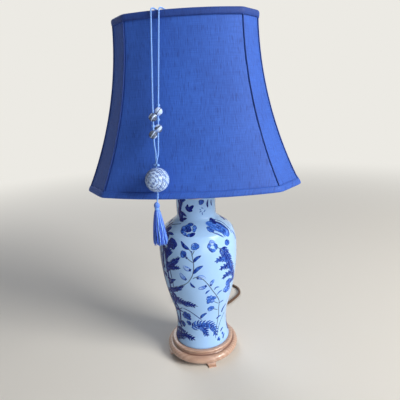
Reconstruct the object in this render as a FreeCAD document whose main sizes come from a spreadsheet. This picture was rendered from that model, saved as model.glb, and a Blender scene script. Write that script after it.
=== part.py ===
import FreeCAD, Part
import Sketcher
import math
import os

# Ginger jar lamp: a glazed jar on a turned wooden base, a brass lamp pipe with socket, harp and
# finial, a bell shade of eight silk panels, a mains lead with its plug, and a corded bead and ball
# ornament that hangs over the rim of the shade. Millimetres; +Z is up, the shade's front faces -Y,
# and the origin lies on the table under the middle of the base.

Vector = FreeCAD.Vector
doc = FreeCAD.newDocument("GingerJarLamp")

SIZES = {
    "wooden base": {
        "foot_height": 7.5, "foot_width": 26, "foot_tip_width": 14, "foot_tip_inset": 0.5,
        "foot_length": 19, "foot_angle": 18, "rim_thickness": 15, "rim_margin": 9.9,
        "ring_height": 8.5, "ring_wall": 5.9, "recess_depth": 2.5,
        "nut_well_radius": 22, "nut_well_depth": 16, "pipe_hole_clearance": 0.4,
    },
    "jar": {
        "felt_thickness": 1, "felt_radius": 46, "jar_foot_radius": 53.3, "jar_foot_band": 4.5,
        "jar_wall": 5, "jar_waist_radius": 48.4, "jar_waist_height": 35, "jar_belly_radius": 72.6,
        "jar_belly_rise": 157.5, "jar_shoulder_radius": 66.3, "jar_shoulder_rise": 33.5,
        "jar_slope_radius": 60.6, "jar_slope_rise": 7, "jar_root_radius": 40.6,
        "jar_root_rise": 15.6, "jar_neck_radius": 35.6, "jar_neck_rise": 8.4,
        "jar_neck_length": 37, "jar_fit": 0.4, "jar_hole_radius": 6.5,
    },
    "pipe and hardware": {
        "pipe_radius": 5, "pipe_bore_radius": 3.5, "pipe_tail": 0.4, "pipe_fit": 0.2,
        "washer_radius": 15, "washer_thickness": 1.6, "lock_washer_radius": 9.5,
        "lock_washer_thickness": 1.2, "nut_across_flats": 16, "nut_thickness": 4.5,
        "cap_thickness": 0.9, "cap_lip": 3, "cap_fit": 0.6, "cap_rise": 6.5,
        "check_ring_radius": 8.5, "check_ring_thickness": 2.8, "spacer_radius": 9.2,
        "spacer_waist_radius": 8.1, "spacer_height": 8.5,
    },
    "harp": {
        "saddle_thickness": 1.8, "saddle_width": 15, "saddle_reach": 31, "harp_wire_radius": 1.9,
        "harp_foot_spread": 27, "harp_post_height": 9.2, "harp_leg_height": 28,
        "harp_half_width": 57, "harp_shoulder_height": 82, "harp_height": 254, "harp_bow_radius": 51,
        "sleeve_wall": 1.5, "sleeve_height": 13, "sleeve_fit": 0.3, "sleeve_rest_gap": 0.3,
        "stud_base_radius": 6, "stud_base_height": 4.9, "stud_radius": 3.15, "stud_height": 11.5,
    },
    "socket": {
        "socket_hub_radius": 7.6, "socket_hub_height": 4.5, "socket_cap_height": 17,
        "socket_radius": 17.4, "socket_wall": 0.6, "shell_height": 43, "liner_wall": 0.5,
        "socket_layer_gap": 0.2, "insulator_radius": 14.6, "insulator_height": 15.5,
        "insulator_lift": 2.4, "screw_shell_radius": 14.1, "screw_shell_wall": 0.4,
        "screw_shell_height": 23, "contact_radius": 3.4, "contact_height": 1.4,
        "terminal_spread": 9, "terminal_radius": 2.4, "terminal_height": 2,
        "knob_height": 22, "knob_radius": 6, "knob_length": 12, "knob_shaft_radius": 1.6,
        "knob_shaft_reach": 27, "knob_fit": 0.3, "set_screw_radius": 1.5, "set_screw_length": 5,
    },
    "bulb": {
        "bulb_cap_radius": 13.1, "bulb_cap_height": 22, "bulb_gap": 0.4, "bulb_cap_foot": 3.5,
        "bulb_neck_radius": 14.5, "bulb_radius": 30, "bulb_globe_height": 52, "bulb_height": 82,
        "bulb_wall": 0.8,
    },
    "finial": {
        "stack_gap": 0.2, "stud_fit": 0.07, "finial_flange_radius": 7.6, "finial_flange": 1.5,
        "finial_neck_radius": 4.6, "finial_neck": 4.6, "finial_ball_radius": 7.4,
        "finial_height": 23, "finial_tip_radius": 2.6, "finial_bore_depth": 11.5,
    },
    "shade": {
        "shade_height": 267, "shade_rim_drop": 10.7, "bell_power": 1.95,
        "top_half_width": 110.4, "top_front_half": 87, "top_half_depth": 69.4,
        "top_side_half": 41.5, "top_front_bow": 13.4, "top_side_bow": 1.5,
        "bottom_half_width": 178, "bottom_front_half": 140, "bottom_half_depth": 99,
        "bottom_side_half": 48.5, "bottom_front_bow": 24, "bottom_side_bow": 3,
        "fabric_thickness": 0.8, "liner_thickness": 0.6, "shade_layer_gap": 0.2,
        "frame_wire_radius": 1.5, "seam_half_gap": 0.5,
        "trim_height": 12, "trim_thickness": 1, "seam_bead_radius": 1.4,
        "hub_radius": 11, "hub_thickness": 1.5, "arm_crank": 16,
    },
    "mains lead": {
        "cord_radius": 3, "cord_height": 11.3, "bushing_radius": 4.6, "bushing_length": 10,
        "bushing_flange_radius": 5.8, "bushing_flange": 1.6, "spot_face_depth": 1.5,
        "relief_length": 18, "relief_root_radius": 4.8, "relief_tip_radius": 3.8, "cord_fit": 0.1,
        "cord_start": 30, "coil_radius": 33, "coil_half_width": 9, "coil_height": 16.4,
        "coil_x": -18, "coil_y": 226, "plug_length": 30, "plug_width": 21, "plug_thickness": 13,
        "plug_tail_width": 8, "plug_lead": 28, "blade_length": 16, "blade_width": 6.4,
        "blade_thickness": 1.5, "blade_spacing": 12.7, "wire_radius": 1,
    },
    "ornament": {
        "string_radius": 1.1, "string_fit": 0.4, "string_rim_arc": 3, "bead_radius": 6.1,
        "ball_radius": 17.8,
        "knot_radius": 2.1, "tassel_head_radius": 4.4, "tassel_head_height": 12,
        "tassel_neck_radius": 3.3, "tassel_radius": 11.5, "tassel_length": 56,
    },
}


class Size:
    """A number together with the sheet formula that it comes from."""

    def __init__(self, value, formula=None):
        self.value = float(value)
        self.formula = formula or repr(self.value)

    def join(self, other, sign, value):
        return Size(value, "(%s %s %s)" % (self.formula, sign, other.formula))

    def __add__(self, other):
        other = as_size(other)
        return self.join(other, "+", self.value + other.value)

    def __radd__(self, other):
        return as_size(other) + self

    def __sub__(self, other):
        other = as_size(other)
        return self.join(other, "-", self.value - other.value)

    def __rsub__(self, other):
        return as_size(other) - self

    def __mul__(self, other):
        other = as_size(other)
        return self.join(other, "*", self.value * other.value)

    def __rmul__(self, other):
        return as_size(other) * self

    def __truediv__(self, other):
        other = as_size(other)
        return self.join(other, "/", self.value / other.value)

    def __neg__(self):
        return as_size(0) - self

    def __float__(self):
        return self.value


def as_size(number):
    return number if isinstance(number, Size) else Size(number)


class Sheet:
    """The driving dimensions: one named cell each, read back as Size values."""

    def __init__(self, groups):
        self.cells = doc.addObject("Spreadsheet::Sheet", "Sizes")
        row = 0
        for sizes in groups.values():
            for name, number in sizes.items():
                row += 1
                self.cells.set("A%d" % row, str(number))
                self.cells.setAlias("A%d" % row, name)
        doc.recompute()

    def __getattr__(self, name):
        return Size(getattr(self.cells, name), "Sizes." + name)


s = Sheet(SIZES)

# Heights of the stack, from the table upwards.
underside = s.foot_height
rim_top = underside + s.rim_thickness
ring_top = rim_top + s.ring_height
recess_floor = ring_top - s.recess_depth
jar_foot = recess_floor + s.felt_thickness
jar_waist = jar_foot + s.jar_waist_height
jar_belly = jar_waist + s.jar_belly_rise
jar_shoulder = jar_belly + s.jar_shoulder_rise
jar_slope = jar_shoulder + s.jar_slope_rise
jar_root = jar_slope + s.jar_root_rise
jar_neck = jar_root + s.jar_neck_rise
jar_top = jar_neck + s.jar_neck_length
ring_radius = s.jar_foot_radius + s.jar_fit + s.ring_wall
rim_radius = ring_radius + s.rim_margin
well_top = underside + s.nut_well_depth
cap_top = jar_top + s.cap_rise
spacer_foot = cap_top + s.check_ring_thickness
saddle_foot = spacer_foot + s.spacer_height
saddle_top = saddle_foot + s.saddle_thickness
socket_foot = saddle_top + s.check_ring_thickness
socket_rim = socket_foot + s.socket_cap_height
shell_foot = socket_rim - 3
shell_top = shell_foot + s.shell_height
insulator_foot = shell_foot + s.insulator_lift
insulator_top = insulator_foot + s.insulator_height
harp_joint = saddle_top + s.harp_post_height
harp_top = saddle_foot + s.harp_height
stud_seat = harp_top + s.harp_wire_radius + 1.4
hub_foot = stud_seat + s.stack_gap
hub_top = hub_foot + s.hub_thickness
finial_foot = hub_top + s.stack_gap
shade_top = hub_top + s.shade_rim_drop
shade_bottom = shade_top - s.shade_height


def new_body(label):
    body = doc.addObject("PartDesign::Body", label)
    body.Label = label
    return body


def origin_plane(body, role):
    return [plane for plane in body.Origin.OriginFeatures if plane.Role == role][0]


def new_sketch(body, name, role):
    sketch = body.newObject("Sketcher::SketchObject", name)
    sketch.AttachmentSupport = [(origin_plane(body, role), "")]
    sketch.MapMode = "FlatFace"
    return sketch


def constrain(sketch, kind, geometry, point, size):
    """Hold a point's X or Y at a size, measured from the sketch's origin."""
    if size.value == 0:
        axis = -2 if kind == "DistanceX" else -1
        sketch.addConstraint(Sketcher.Constraint("PointOnObject", geometry, point, axis))
        return
    index = sketch.addConstraint(Sketcher.Constraint(kind, -1, 1, geometry, point, size.value))
    sketch.setExpression("Constraints[%d]" % index, size.formula)


def add_outline(sketch, corners):
    """A closed outline. A corner is (x, y), or (x, y, x of a point, y of a point) where an arc
    through that point arrives."""
    corners = [[as_size(number) for number in corner] for corner in corners]
    edges = []
    for start, end in zip(corners, corners[1:] + corners[:1]):
        first = Vector(start[0].value, start[1].value, 0)
        last = Vector(end[0].value, end[1].value, 0)
        if len(end) == 2:
            edges.append((sketch.addGeometry(Part.LineSegment(first, last), False), 1, 2))
            continue
        middle = Vector(end[2].value, end[3].value, 0)
        if (middle - first).cross(last - middle).z > 0:
            edges.append((sketch.addGeometry(Part.Arc(first, middle, last), False), 1, 2))
        else:
            edges.append((sketch.addGeometry(Part.Arc(last, middle, first), False), 2, 1))
    for index, (edge, _, edge_end) in enumerate(edges):
        following, following_start, _ = edges[(index + 1) % len(edges)]
        end = corners[(index + 1) % len(corners)]
        sketch.addConstraint(
            Sketcher.Constraint("Coincident", edge, edge_end, following, following_start))
        constrain(sketch, "DistanceX", following, following_start, end[0])
        constrain(sketch, "DistanceY", following, following_start, end[1])
        if len(end) == 4:
            middle = sketch.addGeometry(Part.Point(Vector(end[2].value, end[3].value, 0)), True)
            constrain(sketch, "DistanceX", middle, 1, end[2])
            constrain(sketch, "DistanceY", middle, 1, end[3])
            sketch.addConstraint(Sketcher.Constraint("PointOnObject", middle, 1, edge))


def add_circle(sketch, x, y, radius):
    x, y, radius = as_size(x), as_size(y), as_size(radius)
    circle = Part.Circle(Vector(x.value, y.value, 0), Vector(0, 0, 1), radius.value)
    index = sketch.addGeometry(circle, False)
    constrain(sketch, "DistanceX", index, 3, x)
    constrain(sketch, "DistanceY", index, 3, y)
    bound = sketch.addConstraint(Sketcher.Constraint("Radius", index, radius.value))
    sketch.setExpression("Constraints[%d]" % bound, radius.formula)


def turned(label, corners):
    """A piece turned about its own Z axis from an outline of radius by height."""
    body = new_body(label)
    sketch = new_sketch(body, label + "_outline", "XZ_Plane")
    add_outline(sketch, corners)
    turn = body.newObject("PartDesign::Revolution", label + "_turn")
    turn.Profile = sketch
    turn.ReferenceAxis = (sketch, ["V_Axis"])
    turn.Angle = 360
    return body


def padded(body, name, role, draw, length, symmetric=False):
    sketch = new_sketch(body, name + "_outline", role)
    draw(sketch)
    pad = body.newObject("PartDesign::Pad", name)
    pad.Profile = sketch
    pad.setExpression("Length", as_size(length).formula)
    if symmetric:
        pad.SideType = "Symmetric"
    return pad


def pocketed(body, name, role, draw, length=None, reverse=False):
    """Cut an outline through everything both ways, or one way for a length."""
    sketch = new_sketch(body, name + "_outline", role)
    draw(sketch)
    pocket = body.newObject("PartDesign::Pocket", name)
    pocket.Profile = sketch
    if length is None:
        pocket.Type = "ThroughAll"
        pocket.SideType = "Symmetric"
    else:
        pocket.setExpression("Length", as_size(length).formula)
        pocket.Reversed = reverse
    return pocket


def place(item, x=0, y=0, z=0, turn=None):
    """Put a piece where its sizes say, turned by an angle about an axis."""
    if turn:
        axis, angle = turn
        item.Placement = FreeCAD.Placement(Vector(), FreeCAD.Rotation(Vector(*axis), angle))
    for direction, size in (("x", x), ("y", y), ("z", z)):
        item.setExpression("Placement.Base." + direction, as_size(size).formula)


def cylinder(label, radius, height, x=0, y=0, z=0, turn=None):
    piece = doc.addObject("Part::Cylinder", label)
    piece.Label = label
    piece.setExpression("Radius", as_size(radius).formula)
    piece.setExpression("Height", as_size(height).formula)
    place(piece, x, y, z, turn)
    return piece


def computed(label, shape):
    piece = doc.addObject("Part::Feature", label)
    piece.Label = label
    piece.Shape = shape
    return piece


def ring_outline(inner, outer, low, high):
    return [(inner, low), (outer, low), (outer, high), (inner, high)]


def arc_middle(x0, y0, x1, y1):
    """The middle of an arc that leaves (x0, y0) upright and ends at (x1, y1)."""
    across = float(x1) - float(x0)
    up = float(y1) - float(y0)
    chord = math.hypot(across, up)
    half_turn = math.atan2(across, abs(up)) / 2
    share_across = chord * math.tan(half_turn) / 2 / across
    share_up = chord / 2 / abs(up)
    return x0 + (x1 - x0) * share_across, y0 + (y1 - y0) * share_up


# Wooden base and its hardware

def make_wood_base():
    nut_well = s.nut_well_radius
    bore = s.pipe_radius + s.pipe_hole_clearance
    seat = s.jar_foot_radius + s.jar_fit
    ring_flat = ring_radius - 2
    bullnose = s.rim_thickness / 2
    flat = rim_radius - bullnose
    body = turned("wood_base", [
        (bore, recess_floor), (seat, recess_floor), (seat, ring_top), (ring_flat, ring_top),
        (ring_radius, ring_top - 4.8, ring_radius + 0.8, ring_top - 2),
        (flat, rim_top, ring_radius + 0.6, rim_top + 1.4),
        (flat, underside, rim_radius, underside + bullnose),
        (nut_well, underside), (nut_well, well_top), (bore, well_top)])
    channel = s.cord_radius + s.cord_fit * 5
    pocketed(body, "cord_channel", "XZ_Plane",
             lambda sketch: add_circle(sketch, 0, s.cord_height, channel), rim_radius + 5)
    doc.recompute()
    return body


def make_feet():
    tip, lip = rim_radius - s.foot_tip_inset, rim_radius - s.rim_thickness / 2
    inner = tip - s.foot_length
    waist = s.foot_tip_width / 2
    for index, name in enumerate(("front", "right", "rear", "left")):
        body = new_body("foot_" + name)
        padded(body, "foot_block_" + name, "XZ_Plane", lambda sketch: add_outline(sketch, [
            (inner, underside), (inner + 5, 0, inner + 1.2, s.foot_height * 0.45), (tip, 0),
            (tip - 1, 1.8, tip, 1), (lip, underside, lip + 2.6, 2.8)]), s.foot_width, True)
        for side in (-1, 1):
            pocketed(body, "foot_scallop_%s_%d" % (name, side), "YZ_Plane",
                     lambda sketch: add_outline(sketch, [
                         (side * waist, 0, side * (waist + 1), underside * 0.55),
                         (side * s.foot_width, 0), (side * s.foot_width, underside - 0.8),
                         (side * (s.foot_width / 2 - 1), underside - 0.8)]))
        place(body, turn=((0, 0, 1), index * 90 - 90 + s.foot_angle.value))


def make_base_hardware():
    low = well_top - s.washer_thickness
    bore = s.pipe_radius + s.pipe_fit
    turned("steel_washer", ring_outline(bore, s.washer_radius, low, well_top))
    low, high = low - s.lock_washer_thickness, low
    turned("lock_washer", ring_outline(bore, s.lock_washer_radius, low, high))
    body = new_body("hex_nut")
    across = s.nut_across_flats

    def hexagon(sketch):
        corner = across.value / math.sqrt(3)
        scale = corner / across.value
        add_outline(sketch, [(across * scale, 0), (across * scale / 2, across / 2),
                             (-across * scale / 2, across / 2), (-across * scale, 0),
                             (-across * scale / 2, -across / 2), (across * scale / 2, -across / 2)])
        add_circle(sketch, 0, 0, bore)

    padded(body, "hex_nut_block", "XY_Plane", hexagon, s.nut_thickness)
    place(body, z=low - s.nut_thickness)
    tail = low - s.nut_thickness - s.pipe_tail
    turned("lamp_pipe", ring_outline(s.pipe_bore_radius, s.pipe_radius, tail, socket_foot + 6))


def make_bushing():
    face = rim_radius - s.spot_face_depth
    bore = s.cord_radius + s.cord_fit
    flange = s.bushing_flange
    body = turned("cord_bushing", [
        (bore, -s.bushing_length), (s.bushing_radius, -s.bushing_length), (s.bushing_radius, 0),
        (s.bushing_flange_radius, 0), (s.bushing_flange_radius, flange),
        (s.relief_root_radius, flange), (s.relief_tip_radius, flange + s.relief_length),
        (bore, flange + s.relief_length)])
    place(body, y=face, z=s.cord_height, turn=((1, 0, 0), -90))


def cut_bushing_seat(body):
    """The rear hole that the bushing sits in, and its flat face on the round rim."""
    hole = s.bushing_radius + 0.15
    face = rim_radius - s.spot_face_depth
    from_axis = face - s.bushing_length - 0.2
    for name, radius, start in (("bushing_hole", hole, from_axis),
                                ("spot_face", s.bushing_flange_radius + 0.3, face)):
        pocket = pocketed(body, name, "XZ_Plane",
                          lambda sketch: add_circle(sketch, 0, s.cord_height, radius), 20)
        pocket.Profile[0].setExpression("AttachmentOffset.Base.z", (-start).formula)
    doc.recompute()


# Jar, cap and spacer

def make_jar():
    foot_band = jar_foot + s.jar_foot_band
    # the wall swings out of the waist and into the belly on two arcs that meet here
    share = 0.29
    join_radius = s.jar_waist_radius + (s.jar_belly_radius - s.jar_waist_radius) * share
    join = jar_waist + (jar_belly - jar_waist) * share

    def wall(inset):
        """Foot to neck; inset 0 is the glazed face, the wall's thickness gives the inner one."""
        def at(radius, height, middle=None):
            corner = (radius - inset, height)
            return corner + (middle[0] - inset, middle[1]) if middle else corner
        return [
            at(s.jar_foot_radius, foot_band),
            at(s.jar_waist_radius, jar_waist,
               arc_middle(s.jar_waist_radius, jar_waist, s.jar_foot_radius, foot_band)),
            at(join_radius, join, arc_middle(s.jar_waist_radius, jar_waist, join_radius, join)),
            at(s.jar_belly_radius, jar_belly,
               arc_middle(s.jar_belly_radius, jar_belly, join_radius, join)),
            at(s.jar_shoulder_radius, jar_shoulder,
               arc_middle(s.jar_belly_radius, jar_belly, s.jar_shoulder_radius, jar_shoulder)),
            at(s.jar_slope_radius, jar_slope, (s.jar_slope_radius + 3.9, jar_slope - 3.3)),
            at(s.jar_root_radius, jar_root),
            at(s.jar_neck_radius, jar_neck,
               arc_middle(s.jar_neck_radius, jar_neck, s.jar_root_radius, jar_root)),
        ]

    outside = wall(0)
    inside = wall(s.jar_wall)
    # walked back down, an arc's middle belongs to the corner below it
    middles = [corner[2:] for corner in inside]
    down = [inside[-1][:2]]
    for index in range(len(inside) - 2, 0, -1):
        down.append(inside[index][:2] + tuple(middles[index + 1]))
    floor = jar_foot + s.jar_wall
    down.append((s.jar_foot_radius - s.jar_wall, floor + 4) + tuple(middles[1]))
    corners = [(s.jar_hole_radius, jar_foot), (s.jar_foot_radius - 2, jar_foot),
               (s.jar_foot_radius, jar_foot + 2, s.jar_foot_radius - 0.6, jar_foot + 0.6)]
    corners += outside
    corners += [(s.jar_neck_radius, jar_top - 1),
                (s.jar_neck_radius - 1, jar_top, s.jar_neck_radius - 0.3, jar_top - 0.3),
                (s.jar_neck_radius - s.jar_wall, jar_top)]
    corners += down
    corners += [(s.jar_foot_radius - s.jar_wall - 4, floor), (s.jar_hole_radius, floor)]
    turned("jar_body", corners)
    turned("felt_ring", ring_outline(s.jar_hole_radius, s.felt_radius, recess_floor, jar_foot))


def make_cap_and_spacer():
    bore = s.pipe_radius + s.pipe_fit
    lip_inner = s.jar_neck_radius + s.cap_fit
    lip_outer = lip_inner + s.cap_thickness
    skin = s.cap_thickness
    crown = cap_top
    turned("vase_cap", [
        (lip_inner, jar_top - s.cap_lip), (lip_outer, jar_top - s.cap_lip),
        (lip_outer, jar_top - 0.2), (lip_outer - 1.5, jar_top + skin, lip_outer - 0.5, jar_top + 0.6),
        (lip_outer - 6, jar_top + skin),
        (16, crown, lip_outer - 13, crown - 1.6), (bore, crown), (bore, crown - skin),
        (16, crown - skin), (lip_outer - 7, jar_top, lip_outer - 13.8, crown - 2.6),
        (lip_inner, jar_top)])
    for name, low in (("cap_check_ring", cap_top), ("saddle_check_ring", saddle_top)):
        turned(name, [
            (bore, low), (s.check_ring_radius, low),
            (s.check_ring_radius, low + s.check_ring_thickness,
             s.check_ring_radius + 0.7, low + s.check_ring_thickness / 2),
            (bore, low + s.check_ring_thickness)])
    middle = spacer_foot + s.spacer_height / 2
    foot_bead = spacer_foot + 2.2
    head_bead = saddle_foot - 2.2
    turned("brass_spacer", [
        (bore, spacer_foot), (s.spacer_radius, spacer_foot),
        (s.spacer_radius, foot_bead, s.spacer_radius + 0.7, spacer_foot + 1.1),
        (s.spacer_radius, head_bead, s.spacer_waist_radius, middle),
        (s.spacer_radius, saddle_foot, s.spacer_radius + 0.7, saddle_foot - 1.1),
        (bore, saddle_foot)])


# Harp

def make_saddle():
    body = new_body("harp_saddle")
    reach, half = s.saddle_reach, s.saddle_width / 2
    bore = s.pipe_radius + s.pipe_fit

    def plate(sketch):
        add_outline(sketch, [
            (-reach + half, -half, -reach, 0), (-8, -half), (8, -half, 0, -half - 2),
            (reach - half, -half), (reach - half, half, reach, 0), (8, half),
            (-8, half, 0, half + 2), (-reach + half, half)])
        add_circle(sketch, 0, 0, bore)

    padded(body, "saddle_plate", "XY_Plane", plate, s.saddle_thickness)

    def posts(sketch):
        for side in (-1, 1):
            add_circle(sketch, side * s.harp_foot_spread, 0, s.harp_wire_radius)

    padded(body, "saddle_posts", "XY_Plane", posts, s.saddle_thickness + s.harp_post_height)
    place(body, z=saddle_foot)


def make_harp():
    spread, wide = s.harp_foot_spread, s.harp_half_width
    leg, shoulder = harp_joint + s.harp_leg_height, saddle_top + s.harp_shoulder_height
    bow = float(s.harp_bow_radius)
    half = [Vector(float(spread), 0, float(harp_joint)), Vector(float(spread), 0, float(leg)),
            Vector(float(wide), 0, float(shoulder)), Vector(float(wide), 0, float(harp_top)),
            Vector(0, 0, float(harp_top))]
    points = half[:-1] + [Vector(-point.x, 0, point.z) for point in reversed(half[:-1])]
    radii = [22, 45, bow, bow, 45, 22]
    path = rounded_path(points, radii)
    computed("harp_wire", swept_tube(path, float(s.harp_wire_radius)))
    body = new_body("harp_stud")
    seat = s.stud_base_height

    def base(sketch):
        add_circle(sketch, 0, 0, s.stud_base_radius)

    padded(body, "stud_base", "XY_Plane", base, seat)
    padded(body, "stud_thread", "XY_Plane", lambda sketch: add_circle(sketch, 0, 0, s.stud_radius),
           seat + s.stud_height)
    groove = s.harp_wire_radius + 0.05
    wire = harp_top - (stud_seat - seat)
    pocketed(body, "wire_groove", "YZ_Plane", lambda sketch: add_outline(sketch, [
        (-groove, -1), (groove, -1), (groove, wire), (-groove, wire, 0, wire + groove)]))
    place(body, z=stud_seat - seat)


def make_harp_sleeves():
    inner = s.harp_wire_radius + s.sleeve_fit
    outer = inner + s.sleeve_wall
    low = saddle_top + s.sleeve_rest_gap
    for side, name in ((-1, "left"), (1, "right")):
        body = turned("harp_sleeve_" + name, [
            (inner, 0), (outer + 1, 0), (outer + 1, 1.4), (outer, 2.2),
            (outer, s.sleeve_height - 1), (outer - 0.8, s.sleeve_height), (inner, s.sleeve_height)])
        place(body, x=side * s.harp_foot_spread, z=low)


# Socket, switch and bulb

# A rounded tip ends in a flat this wide from its middle.
TIP_FLAT = 0.4


def make_socket():
    bore = s.pipe_radius + s.pipe_fit
    radius, wall = s.socket_radius, s.socket_wall
    hub, step = s.socket_hub_radius, socket_foot + s.socket_hub_height
    turned("socket_cap", [
        (bore, socket_foot), (hub, socket_foot), (hub, step),
        (radius, socket_rim - 5, radius - 1.6, socket_foot + 7.4), (radius, socket_rim),
        (radius - wall, socket_rim), (radius - wall, socket_rim - 5),
        (hub, step + 1.4, radius - 2.4, socket_foot + 8), (bore, step + 1.4)])
    shell = radius - wall - s.socket_layer_gap
    gap = s.socket_layer_gap
    body = turned("socket_shell", [
        (shell - wall, shell_foot), (shell, shell_foot), (shell, shell_top - 3),
        (shell + 0.9, shell_top - 1.5), (shell, shell_top), (shell - wall, shell_top)])
    knob_hole(body, "shell")
    liner = shell - wall - gap
    body = turned("socket_liner", ring_outline(
        liner - s.liner_wall, liner, shell_foot + 0.4, shell_top - 1.2))
    knob_hole(body, "liner")
    body = turned("socket_insulator", [
        (0, insulator_foot), (s.insulator_radius, insulator_foot),
        (s.insulator_radius, insulator_top), (0, insulator_top)])
    knob_hole(body, "insulator", float(s.insulator_radius) * 0.7)
    screw = s.screw_shell_radius
    turned("screw_shell", [
        (screw - s.screw_shell_wall - 5, insulator_top), (screw, insulator_top),
        (screw, insulator_top + s.screw_shell_height),
        (screw - s.screw_shell_wall, insulator_top + s.screw_shell_height),
        (screw - s.screw_shell_wall, insulator_top + 0.6),
        (screw - s.screw_shell_wall - 5, insulator_top + 0.6)])
    cylinder("centre_contact", s.contact_radius, s.contact_height, z=insulator_top)
    screws = []
    for side in (-1, 1):
        head = Part.makeCylinder(float(s.terminal_radius), float(s.terminal_height))
        slot = Part.makeBox(2 * float(s.terminal_radius), 0.8, 0.7)
        slot.translate(Vector(-float(s.terminal_radius), -0.4, 0))
        head = head.cut(slot)
        low = float(insulator_foot - s.terminal_height)
        head.translate(Vector(side * float(s.terminal_spread), 0, low))
        screws.append(head)
    computed("terminal_screws", Part.makeCompound(screws))
    hub_middle = socket_foot + s.socket_hub_height / 2
    screw = cylinder("cap_set_screw", s.set_screw_radius, s.set_screw_length, y=hub + 0.1,
                     z=hub_middle, turn=((1, 0, 0), -90))
    return screw


def knob_hole(body, name, start=None):
    """The hole in the front wall that the switch shaft passes through."""
    pocket = pocketed(body, "shaft_hole_" + name, "XZ_Plane", lambda sketch: add_circle(
        sketch, 0, shell_foot + s.knob_height / 2, s.knob_shaft_radius + s.knob_fit), 40, True)
    if start:
        pocket.Profile[0].setExpression("AttachmentOffset.Base.z", repr(start))


KNOB_FLUTES = 14


def make_switch():
    height = shell_foot + s.knob_height / 2
    reach = s.knob_shaft_reach
    start = s.insulator_radius * 0.7 + 0.3
    body = turned("switch_shaft", [
        (0, start), (s.knob_shaft_radius, start), (s.knob_shaft_radius, reach), (0, reach)])
    place(body, z=height, turn=((1, 0, 0), 90))
    knob = s.knob_radius
    body = turned("switch_knob", [
        (0, reach), (knob - 1.2, reach), (knob, reach + 1.2),
        (knob - 0.8, reach + s.knob_length - 2), (knob - 2.4, reach + s.knob_length),
        (0, reach + s.knob_length)])
    place(body, z=height, turn=((1, 0, 0), 90))
    flutes = pocketed(body, "knob_flute", "XY_Plane",
                      lambda sketch: add_circle(sketch, knob + 0.3, 0, 0.9))
    doc.recompute()
    pattern = body.newObject("PartDesign::PolarPattern", "knob_flutes")
    pattern.Originals = [flutes]
    pattern.Axis = (flutes.Profile[0], ["N_Axis"])
    pattern.Angle = 360
    pattern.Occurrences = KNOB_FLUTES
    body.Tip = pattern


def make_bulb():
    low = insulator_top + s.contact_height + s.bulb_gap
    shoulder = low + s.bulb_cap_foot
    top = shoulder + s.bulb_cap_height - s.bulb_cap_foot
    cap = s.bulb_cap_radius
    turned("bulb_cap", [
        (0, low), (3, low), (5, low + 1.2), (cap - 1.6, shoulder), (cap, shoulder + 1.6),
        (cap, top), (0, top)])
    globe = top + s.bulb_globe_height
    neck = s.bulb_neck_radius
    wall = s.bulb_wall
    head = top + s.bulb_height
    turned("bulb_glass", [
        (0, top), (neck - 1, top), (neck, top + 1.5, neck - 0.3, top + 0.4), (neck, top + 6),
        (s.bulb_radius, globe, neck + 9, top + 28),
        (TIP_FLAT, head, s.bulb_radius * 0.707, globe + (head - globe) * 0.707),
        (0, head), (0, head - wall), (TIP_FLAT, head - wall),
        (s.bulb_radius - wall, globe, s.bulb_radius * 0.707 - wall * 0.7,
         globe + (head - globe) * 0.707 - wall * 0.7),
        (neck - wall, top + 6, neck + 9 - wall, top + 28), (neck - wall, top + 1.6),
        (0, top + 1.6)])


def make_finial():
    bore = s.stud_radius + s.stud_fit
    neck_top = finial_foot + s.finial_flange + s.finial_neck
    top = finial_foot + s.finial_height
    flange_top = finial_foot + s.finial_flange
    ball = s.finial_ball_radius
    depth = finial_foot + s.finial_bore_depth
    neck = s.finial_neck_radius
    turned("finial", [
        (bore, finial_foot), (s.finial_flange_radius, finial_foot),
        (s.finial_flange_radius, flange_top, s.finial_flange_radius + 0.5,
         finial_foot + s.finial_flange / 2),
        (neck, flange_top + 0.2), (neck, neck_top),
        (ball, neck_top + 4.4, ball - 0.8, neck_top + 1.8),
        (s.finial_tip_radius, top - 4.6, ball - 1.6, neck_top + 8.4),
        (s.finial_tip_radius, top - 2.4, s.finial_tip_radius - 0.8, top - 3.4),
        (TIP_FLAT, top, s.finial_tip_radius - 0.4, top - 0.7), (0, top),
        (0, depth + 1.6), (bore, depth)])


# Shade

def bell_share(height):
    """How far the shade has flared from its top plan to its bottom plan."""
    rise = (height - float(shade_bottom)) / float(s.shade_height)
    return (1 - min(max(rise, 0), 1)) ** float(s.bell_power)


def plan_corners(height):
    """The eight corners and the eight panel middles of the shade's plan at a height."""
    flare = bell_share(height)

    def grown(name):
        top = float(getattr(s, "top_" + name))
        return top + (float(getattr(s, "bottom_" + name)) - top) * flare

    wide, front, deep = grown("half_width"), grown("front_half"), grown("half_depth")
    side, bow, side_bow = grown("side_half"), grown("front_bow"), grown("side_bow")
    quarter = [(-front, -deep), (front, -deep), (wide, -side), (wide, side)]
    corners = quarter + [(-x, -y) for x, y in quarter]
    corners = [Vector(x, y, height) for x, y in corners]
    middles = []
    for index, corner in enumerate(corners):
        following = corners[(index + 1) % len(corners)]
        middle = (corner + following) / 2
        bulge = (bow, 0, side_bow, 0)[index % 4]
        middles.append(middle + outward(corner, following) * bulge)
    return corners, middles


def outward(start, end):
    """The level direction that points out of the shade, square to a chord of its plan."""
    along = (end - start).normalize()
    return Vector(along.y, -along.x, 0)


def panel_normals(corners, middles, index):
    """Outward directions of one panel's plan at its start, middle and end."""
    start, end = corners[index], corners[(index + 1) % len(corners)]
    middle = middles[index]
    square = outward(start, end)
    bow = (middle - (start + end) / 2).dot(square)
    half_chord = (end - start).Length / 2
    lean = 2 * math.atan2(bow, half_chord)
    along = (end - start).normalize()
    first = square * math.cos(lean) - along * math.sin(lean)
    last = square * math.cos(lean) + along * math.sin(lean)
    return first, square, last


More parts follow.
